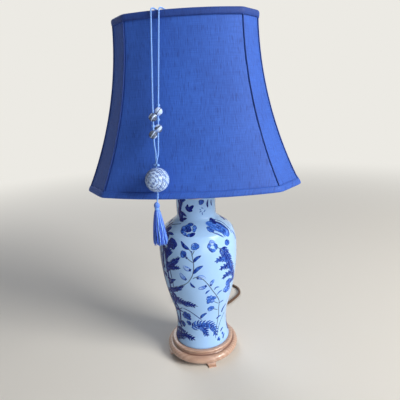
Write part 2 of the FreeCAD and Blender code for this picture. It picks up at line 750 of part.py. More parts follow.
def offset_plan(height, out):
    """Corners and middles of the plan moved out (or in, if negative) and mitred."""
    corners, middles = plan_corners(height)
    count = len(corners)
    normals = [panel_normals(corners, middles, index) for index in range(count)]
    moved = []
    for index, corner in enumerate(corners):
        before = normals[index - 1][2]
        after = normals[index][0]
        moved.append(corner + (before + after) * (out / (1 + before.dot(after))))
    middles = [middle + normals[index][1] * out for index, middle in enumerate(middles)]
    return moved, middles


def plan_edge(start, middle, end):
    sag = (middle - start).cross(end - start).Length / (end - start).Length
    if sag < 0.01:
        return Part.LineSegment(start, end).toShape()
    return Part.Arc(start, middle, end).toShape()


def plan_ring(height, out):
    """The whole plan as one closed wire."""
    corners, middles = offset_plan(height, out)
    edges = [plan_edge(corner, middles[index], corners[(index + 1) % len(corners)])
             for index, corner in enumerate(corners)]
    return Part.Wire(edges)


def strip_wire(height, index, outer, inner):
    """The closed section of one panel, kept back from the seams at its ends."""
    lines = []
    for out in (outer, inner):
        corners, middles = offset_plan(height, out)
        start, end = corners[index], corners[(index + 1) % len(corners)]
        along = (end - start).normalize() * float(s.seam_half_gap)
        lines.append((start + along, middles[index], end - along))
    (a, b, c), (d, e, f) = lines
    return Part.Wire([plan_edge(a, b, c), Part.LineSegment(c, f).toShape(),
                      plan_edge(f, e, d), Part.LineSegment(d, a).toShape()])


def levels(low, high, count):
    return [low + (high - low) * index / (count - 1) for index in range(count)]


PANEL_NAMES = ("front", "front_right", "right", "back_right",
               "back", "back_left", "left", "front_left")
PANEL_STATIONS = 6
RIB_STATIONS = 8


def make_panels(arm_holes):
    lip = float(s.trim_thickness) + float(s.shade_layer_gap)
    heights = levels(float(shade_bottom) + lip, float(shade_top) - lip, PANEL_STATIONS)
    fabric = float(s.fabric_thickness)
    for index, name in enumerate(PANEL_NAMES):
        wires = [strip_wire(height, index, 0, -fabric) for height in heights]
        computed("panel_" + name, Part.makeLoft(wires, True, False))
    depth = fabric + 2 * float(s.frame_wire_radius) + 2 * float(s.shade_layer_gap) + 0.9
    lining = []
    for index in range(len(PANEL_NAMES)):
        wires = [strip_wire(height, index, -depth, -depth - float(s.liner_thickness))
                 for height in heights]
        lining.append(Part.makeLoft(wires, True, False).cut(arm_holes))
    computed("shade_liner", Part.makeCompound(lining))
    return depth + float(s.liner_thickness)


def make_trims(depth, arm_holes):
    """A folded band over each edge: outer wall, web and inner wall."""
    gap, skin, tall = float(s.shade_layer_gap), float(s.trim_thickness), float(s.trim_height)
    for name, edge, step in (("top_trim", float(shade_top), -1),
                             ("bottom_trim", float(shade_bottom), 1)):
        spans = [sorted((edge, edge + step * tall)), sorted((edge + step * skin, edge + step * tall))]
        walls = []
        for out, (low, high) in zip(((gap + skin, -depth - gap - skin), (gap, -depth - gap)), spans):
            for offset in out:
                rings = [plan_ring(height, offset) for height in levels(low, high, 3)]
                walls.append(Part.makeLoft(rings, True, False))
        band = walls[0].cut(walls[1])
        hollow = walls[2].cut(walls[3])
        computed(name, band.cut([hollow] + arm_holes))


def make_seam_beads():
    """A thin corded bead down the outside of each of the eight seams."""
    radius = float(s.seam_bead_radius)
    clear = float(s.trim_height) + 0.9
    heights = levels(float(shade_bottom) + clear, float(shade_top) - clear, RIB_STATIONS)
    beads = [rib_tube(heights, index, radius + 0.35, radius) for index in range(8)]
    computed("seam_beads", Part.makeCompound(beads))


def make_shade_frame():
    wire = float(s.frame_wire_radius)
    inset = float(s.fabric_thickness) + float(s.shade_layer_gap) + wire + 0.45
    end = float(s.trim_thickness) + float(s.shade_layer_gap) + wire
    top, bottom = float(shade_top) - end, float(shade_bottom) + end
    solids = []
    for height in (top, bottom):
        corners, middles = offset_plan(height, -inset)
        solids.append(ring_tube(corners, middles, wire))
    heights = levels(bottom + wire + 0.1, top - wire - 0.1, RIB_STATIONS)
    solids += [rib_tube(heights, index, -inset, wire * 0.85) for index in range(8)]
    computed("shade_frame", Part.makeCompound(solids))
    return top, inset


def rib_tube(heights, index, out, radius):
    """A round rod down one of the eight corners of the bell."""
    points = [offset_plan(height, out)[0][index] for height in heights]
    radii = [run_radius(points, station) for station in range(1, len(points) - 1)]
    return swept_tube(rounded_path(points, radii), radius)


def ring_tube(corners, middles, radius):
    """A closed wire ring: a tube along each edge, with a ball at each corner."""
    pieces = []
    for index, corner in enumerate(corners):
        end = corners[(index + 1) % len(corners)]
        edge = plan_edge(corner, middles[index], end)
        pieces.append(swept_tube(Part.Wire([edge]), radius))
        pieces.append(Part.makeSphere(radius, corner))
    return pieces[0].multiFuse(pieces[1:])


def make_spider(ring_height, inset):
    """The hub that the finial clamps, and four cranked arms out to the top ring. Returns the
    holes that the arms need through the lining and the trim."""
    wire = float(s.frame_wire_radius)
    hub = Part.makeCylinder(float(s.hub_radius), float(s.hub_thickness), Vector(0, 0, float(hub_foot)))
    bore = Part.makeCylinder(float(s.stud_radius + s.stud_fit), 10, Vector(0, 0, float(hub_foot) - 1))
    level = float(hub_foot) + float(s.hub_thickness) / 2
    corners = offset_plan(ring_height, -inset - 2 * wire - 0.1)[0]
    arms, holes = [], []
    for index in (0, 1, 4, 5):
        end = corners[index]
        away = Vector(end.x, end.y, 0).normalize()
        crank = Vector(end.x, end.y, level) - away * float(s.arm_crank)
        start = away * (float(s.hub_radius) - 3) + Vector(0, 0, level)
        knee = crank + away * 8 + Vector(0, 0, ring_height - level)
        path = rounded_path([start, crank, knee, end], [6, 6])
        arms.append(swept_tube(path, wire * 0.85))
        holes.append(Part.makeCylinder(wire, (end - knee).Length, knee, end - knee))
    computed("shade_spider", hub.multiFuse(arms).cut(bore))
    return holes


# Tubes along routes

def run_radius(points, index):
    """The arc at one corner of a route: as large as its two runs allow."""
    before = points[index] - points[index - 1]
    after = points[index + 1] - points[index]
    turn = before.getAngle(after)
    return 0.45 * min(before.Length, after.Length) / math.tan(turn / 2)


def turn_at(points, index):
    """How far a route turns at one of its corners, in degrees."""
    before = points[index] - points[index - 1]
    after = points[index + 1] - points[index]
    return math.degrees(before.getAngle(after))


def rounded_path(points, radii):
    """Straight runs joined by tangent arcs."""
    edges = []
    last = points[0]
    for index in range(1, len(points) - 1):
        corner = points[index]
        before = (corner - points[index - 1]).normalize()
        after = (points[index + 1] - corner).normalize()
        turn = before.getAngle(after)
        back = radii[index - 1] * math.tan(turn / 2)
        start, end = corner - before * back, corner + after * back
        inward = (after - before).normalize()
        centre_gap = radii[index - 1] / math.cos(turn / 2)
        middle = corner + inward * (centre_gap - radii[index - 1])
        if (start - last).Length > 0.001:
            edges.append(Part.LineSegment(last, start).toShape())
        edges.append(Part.Arc(start, middle, end).toShape())
        last = end
    if (points[-1] - last).Length > 0.001:
        edges.append(Part.LineSegment(last, points[-1]).toShape())
    return Part.Wire(edges)


def swept_tube(path, radius):
    first = path.OrderedEdges[0]
    start = first.valueAt(first.FirstParameter)
    along = first.tangentAt(first.FirstParameter)
    if first.Orientation == "Reversed":
        start = first.valueAt(first.LastParameter)
        along = -first.tangentAt(first.LastParameter)
    profile = Part.Wire(Part.makeCircle(radius, start, along))
    return path.makePipeShell([profile], True, True)


def cord_tube(label, points, radius, edge_radius=None):
    """A cord's solid, with its radii and volume printed. Its arcs are as large as their runs
    allow, but where it goes over an edge under tension the arc has that edge's size."""
    radii = [run_radius(points, index) for index in range(1, len(points) - 1)]
    if edge_radius:
        radii = [edge_radius if bend > 30 and turn_at(points, index + 1) > 60 else bend
                 for index, bend in enumerate(radii)]
    path = rounded_path(points, radii)
    tube = swept_tube(path, radius)
    section = math.pi * radius ** 2
    print(label, "radii", [round(value, 1) for value in radii], "length", round(path.Length, 1),
          "volume ratio", round(tube.Volume / (section * path.Length), 4))
    computed(label, tube)
    return path.Length


# Mains lead

def make_mains_lead():
    low = float(s.cord_radius)
    exit_height = float(s.cord_height)
    cord_route = [
        Vector(0, float(s.cord_start), exit_height), Vector(0, 105, exit_height),
        Vector(20, 135, 3.4), Vector(52, 151, low), Vector(70, 176, low), Vector(86, 203, low),
        Vector(82, 232, low), Vector(61, 252, low), Vector(30, 262.5, low),
        Vector(-5, 266.2, low + 0.4)]
    length = cord_tube("power_cord", cord_route, float(s.cord_radius))
    print("power cord run", round(length))
    coil, half, tall = s.coil_radius, s.coil_half_width, s.coil_height
    body = turned("cord_coil", [
        (coil - half + 2, 0, coil - half + 0.3, 2.6), (coil + half - 2, 0),
        (coil + half, tall / 2, coil + half - 0.3, 2.6),
        (coil + half - 3, tall, coil + half - 0.5, tall - 2.6), (coil - half + 3, tall),
        (coil - half, tall / 2, coil - half + 0.5, tall - 2.6)])
    place(body, x=s.coil_x, y=s.coil_y)
    make_plug()


def make_plug():
    """The plug lies in front of the coil, on the lead that leaves the coil at its left."""
    heading = 262
    away = Vector(math.cos(math.radians(heading)), math.sin(math.radians(heading)), 0)
    middle = Vector(float(s.coil_x), float(s.coil_y), 0)
    across = Vector(-away.y, away.x, 0)
    radius = float(s.coil_radius + s.coil_half_width - s.cord_radius)
    height = float(s.plug_thickness) / 2
    leave = middle - across * radius + Vector(0, 0, height)
    lead = [leave, leave + away * float(s.plug_lead)]
    computed("plug_lead", swept_tube(Part.Wire([Part.LineSegment(*lead).toShape()]),
                                     float(s.cord_radius)))
    body = new_body("plug_body")
    wide, tail = s.plug_width / 2, s.plug_tail_width / 2
    long = s.plug_length
    padded(body, "plug_block", "XY_Plane", lambda sketch: add_outline(sketch, [
        (0, -tail), (long * 0.4, -wide, long * 0.16, -tail - 2.2), (long, -wide),
        (long, wide), (long * 0.4, wide), (0, tail, long * 0.16, tail + 2.2)]), s.plug_thickness)
    thin, thick = s.plug_tail_width / 2 + 0.5, s.plug_thickness / 2
    for side in (-1, 1):
        pocketed(body, "plug_slope_%d" % side, "XZ_Plane", lambda sketch: add_outline(sketch, [
            (-1, thick + side * thin), (0, thick + side * thin),
            (long * 0.55, thick + side * thick, long * 0.24, thick + side * (thin + 0.4)),
            (long * 0.55, thick + side * (thick + 2)), (-1, thick + side * (thick + 2))]))
    body.Placement = FreeCAD.Placement(lead[1] - Vector(0, 0, height),
                                       FreeCAD.Rotation(Vector(0, 0, 1), heading))
    blades = []
    for side in (-1, 1):
        blade = Part.makeBox(float(s.blade_length), float(s.blade_thickness), float(s.blade_width))
        blade.translate(Vector(0, side * float(s.blade_spacing) / 2 - float(s.blade_thickness) / 2,
                               -float(s.blade_width) / 2))
        blades.append(blade)
    piece = computed("plug_blades", Part.makeCompound(blades))
    piece.Placement = FreeCAD.Placement(lead[1] + away * float(s.plug_length),
                                        FreeCAD.Rotation(Vector(0, 0, 1), heading))


def make_inner_wires():
    """The two wires from the lead's end, up the pipe, to under the socket's terminals."""
    wires = []
    for side in (-1, 1):
        offset = side * 1.4
        foot = float(s.cord_height)
        points = [Vector(offset, float(s.cord_start), foot), Vector(offset, 0, foot),
                  Vector(offset, 0, float(socket_foot) + 9),
                  Vector(side * float(s.terminal_spread), 0,
                         float(insulator_foot - s.terminal_height) - 1.5)]
        wires.append(swept_tube(rounded_path(points, [4, 3]), float(s.wire_radius)))
    computed("inner_wires", Part.makeCompound(wires))


# Hanging ornament

def make_ornament():
    rim_left, rim_right = Vector(-42.4, -84.9, 614.5), Vector(-30.9, -84.9, 614.5)
    low_left, low_right = Vector(-46.2, -126.6, 429), Vector(-40.1, -120, 434)
    loop = 6.6
    loop_height = float(finial_foot + s.finial_flange) + 1.9
    knot_height = 398
    ball = Vector(-44.1, -132, 376.7)
    string_route = [
        Vector(-44.6, -129.4, knot_height), Vector(-42.8, -128.2, 416), low_left, rim_left,
        Vector(-loop, -loop, loop_height), Vector(-loop, loop, loop_height),
        Vector(loop, loop, loop_height), Vector(loop, -loop, loop_height), rim_right, low_right,
        Vector(-40, -126.8, 413), Vector(ball.x, ball.y, knot_height + 2),
        Vector(ball.x, ball.y, ball.z - 22), Vector(-47.5, -132, 340)]
    cord_tube("ornament_string", string_route, float(s.string_radius), float(s.string_rim_arc))
    bore = float(s.string_radius + s.string_fit)
    beads = []
    strands = ((rim_left, low_left, (153.9, 178.3)), (rim_right, low_right, (145.2, 169.4)))
    for rim, low, distances in strands:
        along = (low - rim).normalize()
        turn = FreeCAD.Rotation(Vector(0, 0, 1), along)
        for distance in distances:
            bead = Part.makeSphere(float(s.bead_radius))
            hole = Part.makeCylinder(bore, 4 * float(s.bead_radius), Vector(0, 0, -15))
            bead = bead.cut(hole)
            bead.Placement = FreeCAD.Placement(rim + along * distance, turn)
            beads.append(bead)
    computed("ornament_beads", Part.makeCompound(beads))
    knots = [Part.makeSphere(float(s.knot_radius), string_route[0] - Vector(0.9, 0.5, 0.2)),
             Part.makeSphere(float(s.knot_radius), Vector(ball.x + 2.8, ball.y - 0.6, knot_height))]
    computed("ornament_knots", Part.makeCompound(knots))
    globe = Part.makeSphere(float(s.ball_radius), ball)
    hole = Part.makeCylinder(bore, 60, ball - Vector(0, 0, 30))
    computed("ornament_ball", globe.cut(hole))
    head_top = 343
    head_foot = head_top - float(s.tassel_head_height)
    body = turned("tassel_head", [
        (0, 0), (s.tassel_neck_radius, 0), (s.tassel_neck_radius, 3.4),
        (s.tassel_neck_radius, 9, s.tassel_head_radius, 6.2),
        (1.6, s.tassel_head_height), (0, s.tassel_head_height)])
    place(body, x=-47.5, y=-132, z=head_foot)
    body = turned("tassel_skirt", [
        (0, 0), (s.tassel_radius, 0), (s.tassel_radius - 0.5, 3),
        (s.tassel_neck_radius + 0.4, s.tassel_length, s.tassel_radius - 2.6, s.tassel_length * 0.45),
        (0, s.tassel_length)])
    place(body, x=-47.5, y=-132, z=head_foot - s.tassel_length)


wood_base = make_wood_base()
cut_bushing_seat(wood_base)
make_feet()
make_base_hardware()
make_bushing()
make_jar()
make_cap_and_spacer()
make_saddle()
make_harp()
make_harp_sleeves()
make_socket()
make_switch()
make_bulb()
make_finial()
ring_height, ring_inset = make_shade_frame()
arm_holes = make_spider(ring_height, ring_inset)
liner_depth = make_panels(arm_holes)
make_trims(liner_depth, arm_holes)
make_seam_beads()
make_mains_lead()
make_inner_wires()
make_ornament()
doc.recompute()

for item in doc.Objects:
    if "Invalid" in item.State or "Error" in item.State:
        raise RuntimeError("%s failed: %s" % (item.Label, item.State))

SUB_PART_TYPES = ("PartDesign::Body", "Part::Cylinder", "Part::Feature")
os.makedirs("parts", exist_ok=True)
sub_parts = [item for item in doc.Objects if item.TypeId in SUB_PART_TYPES]
for item in sub_parts:
    if item.Shape.isNull() or not item.Shape.isValid():
        raise RuntimeError("%s has no valid shape" % item.Label)
for item in sub_parts:
    item.Shape.exportStep(os.path.join("parts", item.Label + ".step"))
print(len(sub_parts), "sub-parts")
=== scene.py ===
import math

import bpy
import numpy as np
from mathutils import Matrix, Vector


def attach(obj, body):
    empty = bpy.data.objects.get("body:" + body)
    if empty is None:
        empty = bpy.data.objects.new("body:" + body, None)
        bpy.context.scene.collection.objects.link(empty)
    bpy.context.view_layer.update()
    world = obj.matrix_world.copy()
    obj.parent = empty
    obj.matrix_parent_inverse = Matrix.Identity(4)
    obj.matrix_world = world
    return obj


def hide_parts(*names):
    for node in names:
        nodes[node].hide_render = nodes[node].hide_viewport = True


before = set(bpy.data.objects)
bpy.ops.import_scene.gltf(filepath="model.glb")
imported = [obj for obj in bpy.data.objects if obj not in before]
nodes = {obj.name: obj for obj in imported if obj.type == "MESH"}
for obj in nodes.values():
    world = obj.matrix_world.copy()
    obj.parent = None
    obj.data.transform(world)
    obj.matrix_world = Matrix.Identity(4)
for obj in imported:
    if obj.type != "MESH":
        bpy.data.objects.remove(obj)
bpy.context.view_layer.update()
MM = 0.001
# Coordinates are in metres, so the scale of a pattern is this divided by its real size in mm
PER_MM = 1 / MM
TURN = 2 * math.pi


# Colours and nodes


def linear(code, alpha=1.0):
    """An sRGB hex colour as the linear numbers that shaders take."""
    parts = [int(code[place:place + 2], 16) / 255 for place in (1, 3, 5)]
    return [part / 12.92 if part <= 0.04045 else ((part + 0.055) / 1.055) ** 2.4
            for part in parts] + [alpha]


def feed(tree, node, inputs):
    """Give a node its inputs: each a number, a colour, another node or one of its outputs."""
    for key, value in inputs.items():
        if isinstance(value, bpy.types.Node):
            value = value.outputs[0]
        if isinstance(value, bpy.types.NodeSocket):
            tree.links.new(value, node.inputs[key])
        else:
            node.inputs[key].default_value = value


def add_node(tree, kind, inputs=None, **settings):
    """One shader node with its settings and inputs."""
    made = tree.nodes.new("ShaderNode" + kind)
    for name, value in settings.items():
        setattr(made, name, value)
    feed(tree, made, inputs or {})
    return made


def new_material(name, inputs):
    """A material with one Principled shader, its node tree, and places on the object in metres."""
    made = bpy.data.materials.new(name)
    made.use_nodes = True
    tree = made.node_tree
    tree.nodes.clear()
    shader = add_node(tree, "BsdfPrincipled", inputs)
    add_node(tree, "OutputMaterial", {"Surface": shader})
    return made, tree, shader, add_node(tree, "TexCoord").outputs["Object"]


# Camera, stage and light

# The camera was fitted to the outlines of shade, jar and base
RIGHT = Vector((0.99744815, 0.05357932, -0.04718525))
UP = Vector((0.0316099, 0.26117917, 0.96477264))
BACK = Vector((0.06401567, -0.96380221, 0.25881905))
camera = bpy.data.objects.new("camera", bpy.data.cameras.new("camera"))
camera.data.sensor_width = 36
camera.data.lens = 32.76
camera.matrix_world = Matrix.Translation((0.0507, -0.64421, 0.4819)) @ Matrix(
    (RIGHT, UP, BACK)).transposed().to_4x4()
bpy.context.scene.collection.objects.link(camera)
bpy.context.scene.camera = camera
bpy.context.scene.view_settings.view_transform = "Standard"

# The floor fades into the background, and keeps the lamp's shadow
BACKDROP = linear("#eceae4")
bpy.ops.mesh.primitive_circle_add(vertices=128, radius=30, fill_type="NGON")
floor = bpy.context.object
floor.name = "floor"
# Matt pale card: it takes soft shadows and shows no gloss
floor_card, tree, shader, place = new_material("matt pale card", {
    "Base Color": linear("#e4e2dc"), "Roughness": 0.9})
distance = add_node(tree, "VectorMath", {0: place}, operation="LENGTH")
far = add_node(tree, "MapRange", {"Value": distance.outputs["Value"], "From Min": 0.7, "From Max": 2.4},
               interpolation_type="SMOOTHSTEP")
# It glows to the eye, and lights the lamp less
bounced = add_node(tree, "LightPath").outputs["Is Diffuse Ray"]
bounced = add_node(tree, "MapRange", {"Value": bounced, "To Min": 1.0, "To Max": 0.22})
glow = add_node(tree, "Emission", {"Color": BACKDROP, "Strength": bounced})
blend = add_node(tree, "MixShader", {0: far, 1: shader, 2: glow})
feed(tree, tree.nodes["Material Output"], {"Surface": blend})
floor.data.materials.append(floor_card)

world = bpy.data.worlds.new("studio")
bpy.context.scene.world = world
world.use_nodes = True
tree = world.node_tree
tree.nodes.clear()
path = add_node(tree, "LightPath").outputs
seen = add_node(tree, "Math", {0: path["Is Camera Ray"], 1: path["Is Glossy Ray"]}, operation="MAXIMUM")
seen = add_node(tree, "Math", {0: seen, 1: path["Is Transmission Ray"]}, operation="MAXIMUM")
ambient = add_node(tree, "Background", {"Color": linear("#e6ecf7"), "Strength": 0.085})
backdrop = add_node(tree, "Background", {"Color": BACKDROP, "Strength": 1.0})
chosen = add_node(tree, "MixShader", {0: seen, 1: ambient, 2: backdrop})
add_node(tree, "OutputWorld", {"Surface": chosen})


def soft_lamp(name, place, size, watts, colour, aim):
    """A square studio lamp of a size in metres that faces a point."""
    lamp = bpy.data.objects.new(name, bpy.data.lights.new(name, "AREA"))
    lamp.data.size = size
    lamp.data.energy = watts
    lamp.data.color = linear(colour)[:3]
    lamp.location = place
    lamp.rotation_mode = "QUATERNION"
    lamp.rotation_quaternion = (Vector(aim) - Vector(place)).to_track_quat("-Z", "Y")
    bpy.context.scene.collection.objects.link(lamp)


soft_lamp("key_lamp", (2.1, -1.2, 1.5), 1.2, 88, "#fffaf2", (0, 0, 0.35))
soft_lamp("fill_lamp", (0.8, -1.5, 0.2), 0.8, 7.5, "#eef3ff", (0, 0, 0.3))
soft_lamp("rear_lamp", (-0.6, 1.5, 1.6), 1.0, 14, "#f6f8ff", (0, 0, 0.35))


# Meshes


def grid_faces(rows, columns, loop=False, start=0):
    """Quads between neighbouring rows of points; loop joins each row's last point to its first."""
    across = columns if loop else columns - 1
    row, column = np.meshgrid(np.arange(rows - 1), np.arange(across), indexing="ij")
    near, following = row * columns, (column + 1) % columns
    quads = np.stack([near + column, near + following, near + columns + following,
                      near + columns + column], -1)
    return (quads.reshape(-1, 4) + start).tolist()


def tube_faces(rows, columns, capped=True):
    """Quads round a tube of rings, with a cap on each end or its last ring joined to its first."""
    faces = grid_faces(rows, columns, loop=True)
    last = (rows - 1) * columns
    if capped:
        return faces + [list(range(columns))[::-1], [last + column for column in range(columns)]]
    return faces + [[last + column, last + (column + 1) % columns, (column + 1) % columns, column]
                    for column in range(columns)]


def new_piece(name, points, faces, body, material, slot, stands_for=(), layers=None, flat=False):
    """A mesh piece on a body. Points are in mm, and layers are its vertices' attributes by name."""
    mesh = bpy.data.meshes.new(name)
    mesh.from_pydata((np.asarray(points, float) * MM).tolist(), [], faces)
    for layer, values in (layers or {}).items():
        values = np.asarray(values, np.float32)
        kind, field = ("FLOAT", "value") if values.ndim == 1 else ("FLOAT_VECTOR", "vector")
        mesh.attributes.new(layer, kind, "POINT").data.foreach_set(field, values.ravel())
    mesh.materials.append(material)
    if not flat:
        mesh.shade_smooth()
    made = bpy.data.objects.new(name, mesh)
    bpy.context.scene.collection.objects.link(made)
    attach(made, body)
    if stands_for:
        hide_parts(*stands_for)
    return made


def joined(parts):
    """Several (points, faces) as one."""
    points, faces = [], []
    for some, quads in parts:
        start = sum(len(each) for each in points)
        faces += [[corner + start for corner in face] for face in quads]
        points.append(np.asarray(some, float))
    return np.concatenate(points), faces


def turned(profile, columns):
    """A turned solid: (radius, height) corners, walked with the solid on their left, turned about z."""
    profile = np.asarray(profile, float)
    angles = np.linspace(0, TURN, columns, endpoint=False)
    points = np.stack([profile[:, :1] * np.sin(angles), profile[:, :1] * -np.cos(angles),
                       np.repeat(profile[:, 1:], columns, 1)], -1).reshape(-1, 3)
    return points, tube_faces(len(profile), columns, capped=False)


def placed(points, middle, axis):
    """Points round z, in mm, moved so that z is an axis through middle."""
    turn = Vector((0, 0, 1)).rotation_difference(Vector(axis)).to_matrix()
    return np.asarray(points, float) @ np.array(turn).T + middle


def arc_points(start, middle, end, count):
    """Points along the arc from start through middle to end."""
    (x0, y0), (xm, ym), (x1, y1) = start, middle, end
    rows = np.array([[2 * (xm - x0), 2 * (ym - y0)], [2 * (x1 - x0), 2 * (y1 - y0)]])
    sums = np.array([xm ** 2 - x0 ** 2 + ym ** 2 - y0 ** 2, x1 ** 2 - x0 ** 2 + y1 ** 2 - y0 ** 2])
    cx, cy = np.linalg.solve(rows, sums)
    first, mid, last = (math.atan2(y - cy, x - cx) for x, y in (start, middle, end))
    turn = (last - first) % TURN
    if (mid - first) % TURN > turn:
        turn -= TURN
    angles = first + turn * np.linspace(0, 1, count)
    radius = math.hypot(x0 - cx, y0 - cy)
    return np.stack([cx + radius * np.cos(angles), cy + radius * np.sin(angles)], 1)


def outline_arc(low, high, upright_low, count):
    """Points along an arc of the jar's outline that stands upright at its low or its high end."""
    start, end = (low, high) if upright_low else (high, low)
    across, up = end[0] - start[0], end[1] - start[1]
    chord = math.hypot(across, up)
    half_turn = math.atan2(across, abs(up)) / 2
    middle = start[0] + chord * math.tan(half_turn) / 2, start[1] + chord / 2 * np.sign(up)
    return arc_points(low, middle, high, count)


def smooth_line(points, steps):
    """A smooth curve through points, as closer points."""
    points = np.asarray(points, float)
    padded = np.concatenate([2 * points[:1] - points[1:2], points, 2 * points[-1:] - points[-2:-1]])
    share = np.linspace(0, 1, steps, endpoint=False)[:, None]
    runs = []
    for a, b, c, d in zip(padded, padded[1:], padded[2:], padded[3:]):
        runs.append(0.5 * (2 * b + (c - a) * share + (2 * a - 5 * b + 4 * c - d) * share ** 2
                           + (3 * b - a - 3 * c + d) * share ** 3))
    return np.concatenate(runs + [points[-1:]])


def unit(vectors):
    """Vectors made one long."""
    return vectors / np.linalg.norm(vectors, axis=-1, keepdims=True)


def reach_along(line):
    """How far along a line each of its points is."""
    return np.concatenate([[0], np.cumsum(np.linalg.norm(np.diff(line, axis=0), axis=1))])


def resampled(line, gap):
    """The same line with its points an even gap apart, and how far along it they are."""
    reach = reach_along(line)
    places = np.linspace(0, reach[-1], max(2, int(round(reach[-1] / gap)) + 1))
    return np.stack([np.interp(places, reach, axis) for axis in line.T], 1), places


def along_frames(line):
    """Two directions square to a line at each of its points, turned as little as possible."""
    ahead = unit(np.gradient(line, axis=0))
    side = np.cross(ahead[0], (0, 0, 1.0) if abs(ahead[0][2]) < 0.9 else (1.0, 0, 0))
    sides = []
    for direction in ahead:
        side = unit(side - direction * side.dot(direction))
        sides.append(side)
    sides = np.array(sides)
    return sides, np.cross(ahead, sides)


def tube(line, radii, sides):
    """A closed round tube along a line, in millimetres; its radius may change along it."""
    across, up = along_frames(line)
    angles = np.linspace(0, TURN, sides, endpoint=False)
    radii = np.broadcast_to(radii, len(line))[:, None, None]
    rings = line[:, None] + radii * (np.cos(angles)[None, :, None] * across[:, None]
                                     + np.sin(angles)[None, :, None] * up[:, None])
    return rings.reshape(-1, 3), tube_faces(len(line), sides)


def twisted(line, places, radius, strands, pitch, sides):
    """The strands of a laid rope: each a tube that winds round the line once in a pitch."""
    across, up = along_frames(line)
    parts = []
    for number in range(strands):
        angle = TURN * (places / pitch + number / strands)
        offset = (np.cos(angle)[:, None] * across + np.sin(angle)[:, None] * up) * radius * 0.52
        parts.append(tube(line + offset, radius * 0.54, sides))
    return joined(parts)


def nurbs_curve(name, route, diameter=0):
    """A curve object of one NURBS spline with the route's points, in metres, as its control points."""
    curve = bpy.data.curves.new(name, "CURVE")
    curve.dimensions = "3D"
    curve.resolution_u = 12
    curve.bevel_resolution = 5
    curve.bevel_depth = diameter / 2
    curve.use_fill_caps = True
    spline = curve.splines.new("NURBS")
    spline.points.add(len(route) - 1)
    for point, place in zip(spline.points, route):
        point.co = (*place, 1)
    spline.order_u = 3
    spline.use_endpoint_u = True
    return bpy.data.objects.new(name, curve)


def spline_line(route):
    """Points along a route's NURBS spline, in millimetres."""
    made = nurbs_curve("line", route)
    mesh = bpy.data.meshes.new_from_object(made)
    line = np.array([vertex.co for vertex in mesh.vertices]) / MM
    bpy.data.objects.remove(made)
    bpy.data.meshes.remove(mesh)
    return line


def wobble(values, spacing, seed):
    """A smooth random curve from -1 to 1 that changes over a spacing, the same for a seed."""
    steps = np.random.default_rng(seed).uniform(-1, 1, 4096)
    place = np.asarray(values, float) / spacing + 1000
    base = np.floor(place).astype(int)
    share = place - base
    share = share * share * (3 - 2 * share)
    return steps[base % 4096] * (1 - share) + steps[(base + 1) % 4096] * share


# Materials


def silk_cloth(name, cobalt, shaded, bright):
    """Slub silk: fine ribs along the warp, and thick thin-dyed yarns that show as short dark flecks.
    The cloth attribute gives millimetres across and along the cloth."""
    made, tree, shader, _ = new_material(name, {
        "Roughness": 0.62, "Specular IOR Level": 0.32, "Sheen Weight": 0.25, "Sheen Roughness": 0.4,
        "Sheen Tint": linear("#9db4f0")})
    cloth = add_node(tree, "Attribute", attribute_name="cloth").outputs["Vector"]
    # Width and length in mm, detail and roughness of: the warp's threads, which are 0.25 mm apart in
    # real silk and drawn 0.9 mm apart so that they show, the weft's, the slubs and the clouds of dye
    yarns = []
    for wide, long, detail, rough in ((0.9, 14, 2, 0.6), (30, 0.9, 1, 0.5), (2.2, 16, 1.5, 0.5),
                                      (60, 90, 2, 0.5)):
        place = add_node(tree, "VectorMath", {0: cloth, 1: (1 / wide, 1 / long, 1)},
                         operation="MULTIPLY")
        yarns.append(add_node(tree, "TexNoise", {
            "Vector": place, "Scale": 1.0, "Detail": detail, "Roughness": rough}))
    warp, weft, slub, dye = yarns
    fleck = add_node(tree, "MapRange", {"Value": slub, "From Min": 0.58, "From Max": 0.7},
                     interpolation_type="SMOOTHSTEP")
    thread = add_node(tree, "Math", {0: weft, 1: 0.45, 2: warp}, operation="MULTIPLY_ADD")
    thread = add_node(tree, "MapRange", {"Value": thread, "From Min": 0.5, "From Max": 0.95})
    colour = add_node(tree, "MixRGB", {0: thread, 1: linear(cobalt), 2: linear(bright)})
    cloud = add_node(tree, "MapRange", {"Value": dye, "From Min": 0.35, "From Max": 0.7,
                                        "To Max": 0.25})
    colour = add_node(tree, "MixRGB", {0: cloud, 1: colour, 2: linear(shaded)})
    dark = add_node(tree, "Math", {0: fleck, 1: 0.42}, operation="MULTIPLY")
    colour = add_node(tree, "MixRGB", {0: dark, 1: colour, 2: linear(shaded)})
    relief = add_node(tree, "Math", {0: thread, 1: fleck}, operation="ADD")
    relief = add_node(tree, "Bump", {"Height": relief, "Strength": 0.35, "Distance": 0.2 * MM})
    feed(tree, shader, {"Base Color": colour, "Normal": relief})
    return made


def plain_metal(name, colour, dull, roughness, brush=(1, 1, 1)):
    """Metal with a cloudy tarnish and fine scuffs; brush stretches them along z."""
    made, tree, shader, place = new_material(name, {"Metallic": 1.0})
    place = add_node(tree, "VectorMath", {0: place, 1: brush}, operation="MULTIPLY")
    tarnish = add_node(tree, "TexNoise", {"Vector": place, "Scale": PER_MM / 9, "Detail": 4.0})
    amount = add_node(tree, "MapRange", {"Value": tarnish, "From Min": 0.42, "From Max": 0.75})
    tint = add_node(tree, "MixRGB", {0: amount, 1: linear(colour), 2: linear(dull)})
    scuffs = add_node(tree, "TexNoise", {"Vector": place, "Scale": PER_MM / 1.2, "Detail": 3.0})
    gloss = add_node(tree, "MapRange", {"Value": scuffs, "To Min": roughness * 0.7,
                                        "To Max": roughness * 1.5})
    feed(tree, shader, {"Base Color": tint, "Roughness": gloss})
    return made


